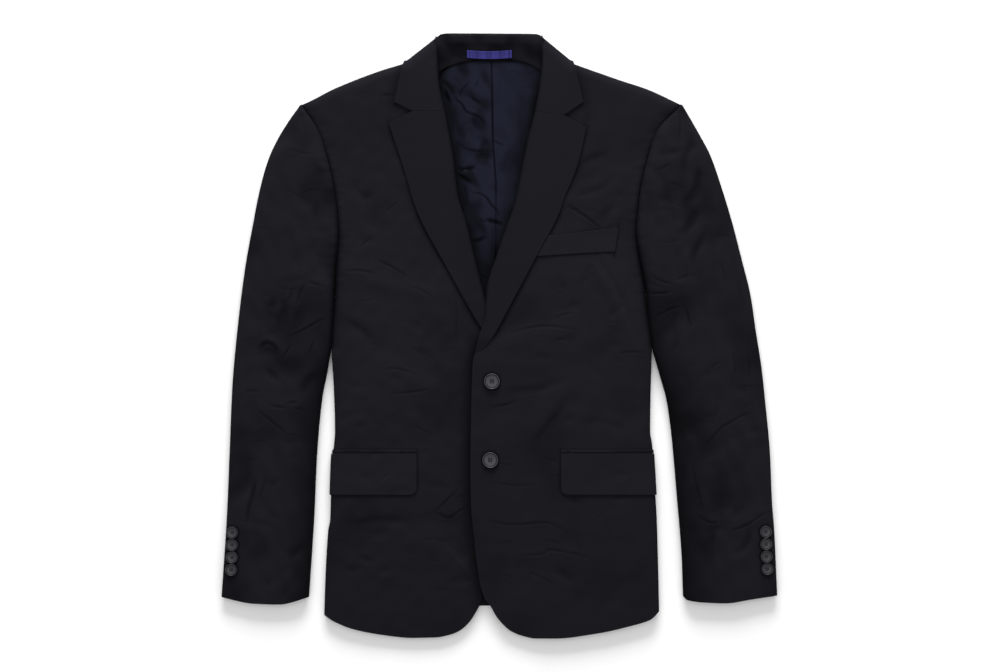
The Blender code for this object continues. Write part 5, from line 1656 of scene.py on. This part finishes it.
def collar():
    """Two leaves on top, the fall behind the neck and the stand inside it."""
    across_table = columns(32, start="turn")
    up_table = rows(46, top="roll", roll=COLLAR_ROLL)
    for side, lines in LINES.items():
        x, y = spread(
            across_table,
            up_table,
            lines["front_edge"],
            lines["leaf_out"],
            lines["leaf_foot"],
            lines["leaf_top"],
            rolls=lambda y: (TURN_MOST * (1.0 - 0.85 * at_fold(y)), 0.0),
        )
        z = leaf_height(side, x, y)
        low = np.minimum(chest_height(side, x, y), z - 0.6) - CLOTH - LIES_ON - FACING
        low = np.minimum(np.maximum(low, 7.0), z - 0.8)
        z = turned(side, x, y, z, across_table, low, 0.0)
        lips = np.broadcast_to(up_table[:, 2:3], x.shape)
        sew(
            f"collar_leaf_{side}",
            raised(x, y, z, lips),
            FACING,
            (worsted,),
            "worsted",
            (0.6, 1.0, 0.2, 0.0),
            [f"front_{side}"],
            held="folded",
            shade=facing_gloom(side, x, y),
        )

    first, last = COLLAR_COLUMNS[0], COLLAR_COLUMNS[-1]
    across_table = columns(70)
    up_table = rows(16, top="roll", roll=FALL_ROLL)
    x, y = spread(across_table, up_table, level(first), level(last), collar_foot, collar_top)
    slope = (collar_top(x + 1.0) - collar_top(x - 1.0)) / 2.0
    distance = (collar_top(x) - y) / np.hypot(1.0, slope)
    z = (collar_edge(x) - LIP) * (1.0 - rolled(distance, FALL_ROLL))
    lips = np.broadcast_to(up_table[:, 2:3], x.shape)
    sew(
        "collar_fall",
        raised(x, y, z, lips, False),
        CLOTH,
        (worsted,),
        "worsted",
        (1.0, 1.0, 1.0, 0.0),
        ["floor"],
        faces_up=False,
        held="folded",
    )

    across_table = columns(60)
    up_table = rows(18, top="roll", roll=STAND_ROLL)
    x, y = spread(
        across_table,
        up_table,
        lambda y: LINES["left"]["front_edge"](y) - STAND_UNDER,
        lambda y: LINES["right"]["front_edge"](y) + STAND_UNDER,
        smooth(STAND_FOOT),
        stand_top,
    )
    z = stand_face(x, y)
    lips = np.broadcast_to(up_table[:, 2:3], x.shape)
    sew(
        "collar_stand",
        raised(x, y, z, lips),
        CLOTH,
        (worsted,),
        "worsted",
        (1.0, 1.0, 1.0, 0.0),
        ["back_left", "back_right"],
        held="folded",
        shade=stand_gloom(x, y),
    )


def at_fold(y):
    """0 beside the neck, 1 at the collar's top fold, where leaf and stand are one surface."""
    return ease((y - 338.0) / 30.0)


def stand_face(x, y):
    """The stand's face: the collar's fold joins it to the leaves at its upper corners."""
    edge = collar_edge(x) + LIP
    z = edge + (stand_height(y) - edge) * rolled(stand_top(x) - y, STAND_ROLL)
    for side, lines in LINES.items():
        roll_line = lines["front_edge"](y)
        joined = at_fold(y) * np.exp(-(((x - roll_line) / STAND_JOINS) ** 2))
        z = z + (leaf_height(side, roll_line, y) - 0.4 - z) * joined
    return z


def lining_face(x, y):
    """The lining's upper face, over the back panels, with its wrinkles."""
    z = over_collar(x, y) + CLOTH + LIES_ON + LINING_CLOTH + LINING_CLEAR
    rumpled = ease((lining_seam(y) - x + 10.0) / 40.0)
    slack = wander(x, y, 71, 0.5, 0.3) * (0.4 + 0.6 * rumpled)
    creased = sum(
        crease(x, y, kind, strength * LINING_CREASE, line) for kind, strength, *line in CREASES["both", "lining"]
    )
    for at_x, at_y, half_x, half_y, strength in LINING_HOLLOWS:
        away = ((x - at_x) / half_x) ** 2 + ((y - at_y) / half_y) ** 2
        creased = creased - 2.0 * strength * np.exp(-away)
    return z + np.maximum(slack + creased, -LINING_CLEAR)


def lining():
    """The lining of the back where the neck opening shows it, in halves with a centre seam."""
    across_table = columns(80)
    up_table = rows(244)
    for side, lines in LINES.items():
        sign = SIGN[side]

        def outer(y, sign=sign, lines=lines):
            under = sign * (lines["front_edge"](y) - lining_seam(y)) + LINING_UNDER
            return lining_seam(y) + sign * np.maximum(under, LINING_LEAST)

        x, y = spread(
            across_table,
            up_table,
            lambda y, sign=sign: lining_seam(y) + sign * 0.06,
            outer,
            level(LINING_FOOT_Y),
            level(LINING_TOP_Y),
        )
        z = lining_face(x, y)
        seam_dip = -0.5 * np.exp(-(((x - lining_seam(y)) / 1.2) ** 2))
        sew(
            f"lining_{side}",
            raised(x, y, z + seam_dip, 0.0),
            LINING_CLOTH,
            (lining_satin,),
            "lining",
            (1.0, 1.0, 1.0, 1.0),
            [f"back_{side}"],
            shade=lining_gloom(x, y),
        )


def hanger_loop():
    """A flat tape sewn across the stand, a little slack in its middle and pressed flat where it is tacked."""
    middle = (LOOP["left"] + LOOP["right"]) / 2.0
    half = (LOOP["right"] - LOOP["left"]) / 2.0

    def slack(x):
        return 1.0 - np.clip((x - middle) / half, -1.0, 1.0) ** 2

    x, y = spread(
        columns(110),
        rows(12),
        level(LOOP["left"]),
        level(LOOP["right"]),
        lambda x: LOOP["foot"] - LOOP["sag"] * slack(x),
        lambda x: LOOP["top"] - LOOP["sag"] * slack(x),
    )
    z = stand_height(y) + LIES_ON + TAPE + LOOP["slack"] * slack(x)
    # Painted shade on the tape: some all over, uneven in bands across it, and a dark line in the pressed dip beside
    # each tack; the tacks themselves get less of it.
    tape_shade = 0.2 + 0.16 * np.sin(x * 0.42 + 0.6) + 0.1 * np.sin(x * 1.1)
    for end in (LOOP["left"], LOOP["right"]):
        inside = np.abs(x - end)
        z = z - 0.2 * np.exp(-(((inside - 2.5) / 1.5) ** 2))
        tape_shade = tape_shade + 0.6 * np.exp(-(((inside - 3.6) / 0.7) ** 2)) - 0.2 * (inside < 2.6)
    tape_shade = np.clip(tape_shade, 0.0, 1.0)
    sew(
        "hanger_loop",
        raised(x, y, z, 0.0),
        TAPE,
        (tape,),
        "tape",
        (1.0, 1.0, 1.0, 1.0),
        ["collar_stand"],
        shade=tape_shade,
    )


def on_front(side, x, y, out):
    """A front's own face moved out by a distance, in the flat and round the side fold."""
    sign = SIGN[side]
    inside = np.maximum(0.0, sign * (LINES[side]["side_edge"](y) - x))
    beyond = np.maximum(0.0, out - inside * out / SIDE_ROLL)
    return front_height(side, x - sign * beyond, y) + out


def pockets():
    """Jetted hip pockets with flaps, and the welt of the breast pocket."""
    for side in LINES:
        sign = SIGN[side]

        def flap_foot(x, side=side, sign=sign):
            inside = np.maximum(0.0, FLAP_CORNER - sign * (x - FLAP_FRONT_X[side]))
            inside = np.minimum(inside, FLAP_CORNER)
            rise = FLAP_CORNER - np.sqrt(FLAP_CORNER**2 - inside**2)
            return FLAP_TOP_Y - FLAP_DEPTH + rise

        jet_foot = FLAP_TOP_Y + SEAM_GAP
        for node, foot, top, cloth, tall, lip in (
            (f"pocket_flap_{side}", flap_foot, level(FLAP_TOP_Y), FLAP_CLOTH, 32, FLAP_LIP),
            (f"pocket_jet_{side}", level(jet_foot), level(jet_foot + JET_DEPTH), JET_CLOTH, 8, FLAP_LIP),
        ):
            out = LIES_ON + cloth
            across_table = columns(56, end="roll")
            up_table = rows(tall)
            x, y = spread(
                across_table,
                up_table,
                level(FLAP_FRONT_X[side]),
                lambda y, side=side, sign=sign, out=out: LINES[side]["side_edge"](y) + sign * out,
                foot,
                top,
                rolls=lambda y: (0.0, SIDE_ROLL),
            )
            z = on_front(side, x, y, out)
            if "flap" in node:
                free = ease((FLAP_TOP_Y - y) / FLAP_DEPTH)
                z = z + FLAP_STANDS * free + 0.12 * wander(x, y, 81 + int(sign))
            z = z - across_table[5] * lip
            sew(
                node,
                raised(x, y, z, 0.0),
                cloth,
                (worsted,),
                "worsted",
                (1.0, 1.0, 1.0, 1.0),
                [f"front_{side}"],
            )
    x, y = spread(
        columns(46),
        rows(18),
        lambda y: LINES["right"]["lapel_out"](y) + 0.6,
        straight(BREAST_WELT["end"]),
        straight(BREAST_WELT["foot"]),
        straight(BREAST_WELT["top"]),
    )
    z = front_height("right", x, y) + LIES_ON + WELT_CLOTH
    sew(
        "breast_welt",
        raised(x, y, z, 0.0),
        WELT_CLOTH,
        (worsted,),
        "worsted",
        (1.0, 1.0, 1.0, 1.0),
        ["front_right"],
    )


BUTTON_FACE = (  # share of the radius, share of the height: dish, groove, rim, side and base
    (0.0, 0.52), (0.14, 0.52), (0.28, 0.53), (0.4, 0.56), (0.5, 0.6), (0.58, 0.64), (0.66, 0.69),
    (0.72, 0.72), (0.755, 0.7), (0.78, 0.62), (0.805, 0.6), (0.825, 0.68), (0.845, 0.82), (0.87, 0.93),
    (0.9, 0.985), (0.925, 1.0), (0.95, 0.98), (0.972, 0.92), (0.99, 0.8), (1.0, 0.64), (1.0, 0.45),
    (0.985, 0.28), (0.95, 0.12), (0.9, 0.03), (0.84, 0.0),
)
HOLE_AT = 1.5  # from the middle, along each axis, on a 20 mm button
HOLE_RADIUS = 0.95
HOLE_DEPTH = 1.3
BUTTON_WELL = 0.75  # gloom of the dished middle
CUFF_DIM = 0.25  # the cuff's buttons lie turned a little from the light
TURNS = 72


def button(node, x, y, diameter, face):
    """A turned button with a beaded rim and a dished middle with four sewn holes, clear of what is under it."""
    radius = diameter / 2.0
    scale = radius / 10.0
    ring = [(x, y)] + [
        (x + share * radius * math.cos(turn * math.pi / 4), y + share * radius * math.sin(turn * math.pi / 4))
        for turn in range(8)
        for share in (0.5, 1.0)
    ]
    ring_x, ring_y = np.array(ring).T
    base = face(ring_x, ring_y).max() + LIES_ON

    coarse_r, coarse_h = np.array(BUTTON_FACE).T
    fine = np.linspace(0.02, 0.36, 18)
    shares = np.concatenate([fine, coarse_r[4:]])
    heights = np.concatenate([np.interp(fine, coarse_r[:5], coarse_h[:5]), coarse_h[4:]])
    angles = np.linspace(0.0, 2 * math.pi, TURNS, endpoint=False)
    px = (shares[:, None] * radius * np.cos(angles)).ravel()
    py = (shares[:, None] * radius * np.sin(angles)).ravel()
    pz = np.repeat(heights * BUTTON_HEIGHT * (0.9 if scale < 1 else 1.0), TURNS)
    holes = np.zeros(px.shape)
    for at_x in (-HOLE_AT, HOLE_AT):
        for at_y in (-HOLE_AT, HOLE_AT):
            away = np.hypot(px - at_x * scale, py - at_y * scale)
            in_dish = np.repeat(shares < 0.4, TURNS)
            holes += in_dish * ease((HOLE_RADIUS * scale - away) / (0.35 * scale) + 0.5)
    pz -= HOLE_DEPTH * scale * holes
    verts = np.stack([px, py, pz], axis=-1)
    middle_z = [heights[0] * BUTTON_HEIGHT * (0.9 if scale < 1 else 1.0), 0.0]
    verts = np.concatenate([verts, [[0, 0, middle_z[0]], [0, 0, middle_z[1]]]]) * MM
    count = len(shares)
    faces = []
    for i in range(count - 1):
        for k in range(TURNS):
            after = (k + 1) % TURNS
            faces.append((i * TURNS + k, (i + 1) * TURNS + k, (i + 1) * TURNS + after, i * TURNS + after))
    for k in range(TURNS):
        after = (k + 1) % TURNS
        faces.append((count * TURNS, k, after))
        faces.append((count * TURNS + 1, (count - 1) * TURNS + after, (count - 1) * TURNS + k))
    mesh = bpy.data.meshes.new(node)
    mesh.from_pydata(verts.tolist(), [], faces)
    # Painted shade on the button: in the groove inside the rim, in the dished middle and its holes, and round its side;
    # the cuff buttons get more all over, as they lie turned a little from the light.
    painted_button_shade = 0.95 * np.exp(-(((shares - 0.795) / 0.05) ** 2)) + BUTTON_WELL * np.exp(-((shares / 0.27) ** 4))
    painted_button_shade = np.repeat(painted_button_shade + 0.8 * (shares > 0.965), TURNS) + 0.8 * holes + (CUFF_DIM if scale < 1 else 0.0)
    gloom = mesh.attributes.new("gloom", "FLOAT", "POINT")
    gloom.data.foreach_set("value", np.concatenate([np.clip(painted_button_shade, 0, 1), [BUTTON_WELL, 0.0]]))
    mesh.materials.append(resin)
    mesh.shade_smooth()
    piece = bpy.data.objects.new(f"{node}_turned", mesh)
    piece.location = (x * MM, y * MM, base * MM)
    bpy.context.scene.collection.objects.link(piece)
    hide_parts(node)
    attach(piece, "root")
    sewn(node, piece, scale)


def sewn(node, piece, scale):
    """The button's thread: two bars, each over a pair of holes."""
    curve = bpy.data.curves.new(f"{node}_thread", "CURVE")
    curve.dimensions = "3D"
    curve.bevel_depth = 0.42 * scale * MM
    curve.bevel_resolution = 3
    floor = 0.5 * BUTTON_HEIGHT
    for at_y in (-HOLE_AT, HOLE_AT):
        bar = curve.splines.new("POLY")
        bar.points.add(8)
        for k, point in enumerate(bar.points):
            share = k / 8.0 * 2.0 - 1.0
            rise = 0.45 - 1.1 * abs(share) ** 5
            point.co = (share * HOLE_AT * scale * MM, at_y * scale * MM, (floor + rise * scale) * MM, 1.0)
    bars = bpy.data.objects.new(f"{node}_thread", curve)
    bars.data.materials.append(thread)
    bars.location = piece.location
    bpy.context.scene.collection.objects.link(bars)
    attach(bars, "root")


def buttons():
    for number, (x, y) in enumerate(FRONT_BUTTONS, 1):
        button(f"front_button_{number}", x, y, FRONT_BUTTON, lambda x, y: front_height("right", x, y))
    for side, places in CUFF_BUTTONS.items():
        for number, (x, y) in enumerate(places, 1):
            button(
                f"cuff_button_{side}_{number}",
                x,
                y,
                CUFF_BUTTON,
                lambda x, y, side=side: sleeve_height(side, x, y),
            )


backs()
side_panels()
fronts()
sleeves()
lining()
collar()
lapels()
hanger_loop()
pockets()
buttons()


# ---------------------------------------------------------------------------------------------------------
# The set: a white floor, soft light from above and a stronger one from the collar's side.


def floor():
    made, _ = substance("matt white paper", Base_Color=linear("#ffffff"), Roughness=0.95)
    mesh = bpy.data.meshes.new("floor")
    mesh.from_pydata([(-4, -4, -0.0002), (4, -4, -0.0002), (4, 4, -0.0002), (-4, 4, -0.0002)], [], [(0, 1, 2, 3)])
    mesh.materials.append(made)
    ground = bpy.data.objects.new("floor", mesh)
    bpy.context.scene.collection.objects.link(ground)
    return ground


def lamp(name, kind, place, aim, power, size):
    data = bpy.data.lights.new(name, kind)
    data.energy = power
    data.shape = "RECTANGLE"
    data.size, data.size_y = size
    light = bpy.data.objects.new(name, data)
    light.location = place
    light.rotation_euler = (Vector(aim) - Vector(place)).to_track_quat("-Z", "Y").to_euler()
    bpy.context.scene.collection.objects.link(light)
    return light


world = bpy.data.worlds.new("white room")
bpy.context.scene.world = world
world.use_nodes = True
world.node_tree.nodes["Background"].inputs["Color"].default_value = (1.0, 1.0, 1.0, 1.0)
world.node_tree.nodes["Background"].inputs["Strength"].default_value = 0.52

camera_data = bpy.data.cameras.new("camera")
camera_data.lens = 85.0
camera_data.sensor_width = 36.0
camera = bpy.data.objects.new("camera", camera_data)
camera.location = (0.00625, -0.0006, 2.975)
bpy.context.scene.collection.objects.link(camera)
bpy.context.scene.camera = camera
bpy.context.scene.view_settings.view_transform = "Standard"

floor()
lamp("key from the collar's side", "AREA", (0.0, 3.0, 1.25), (0.0, 0.0, 0.0), 150.0, (2.4, 1.3))
lamp("overhead", "AREA", (0.0, 0.2, 3.6), (0.0, 0.0, 0.0), 26.0, (2.4, 2.4))
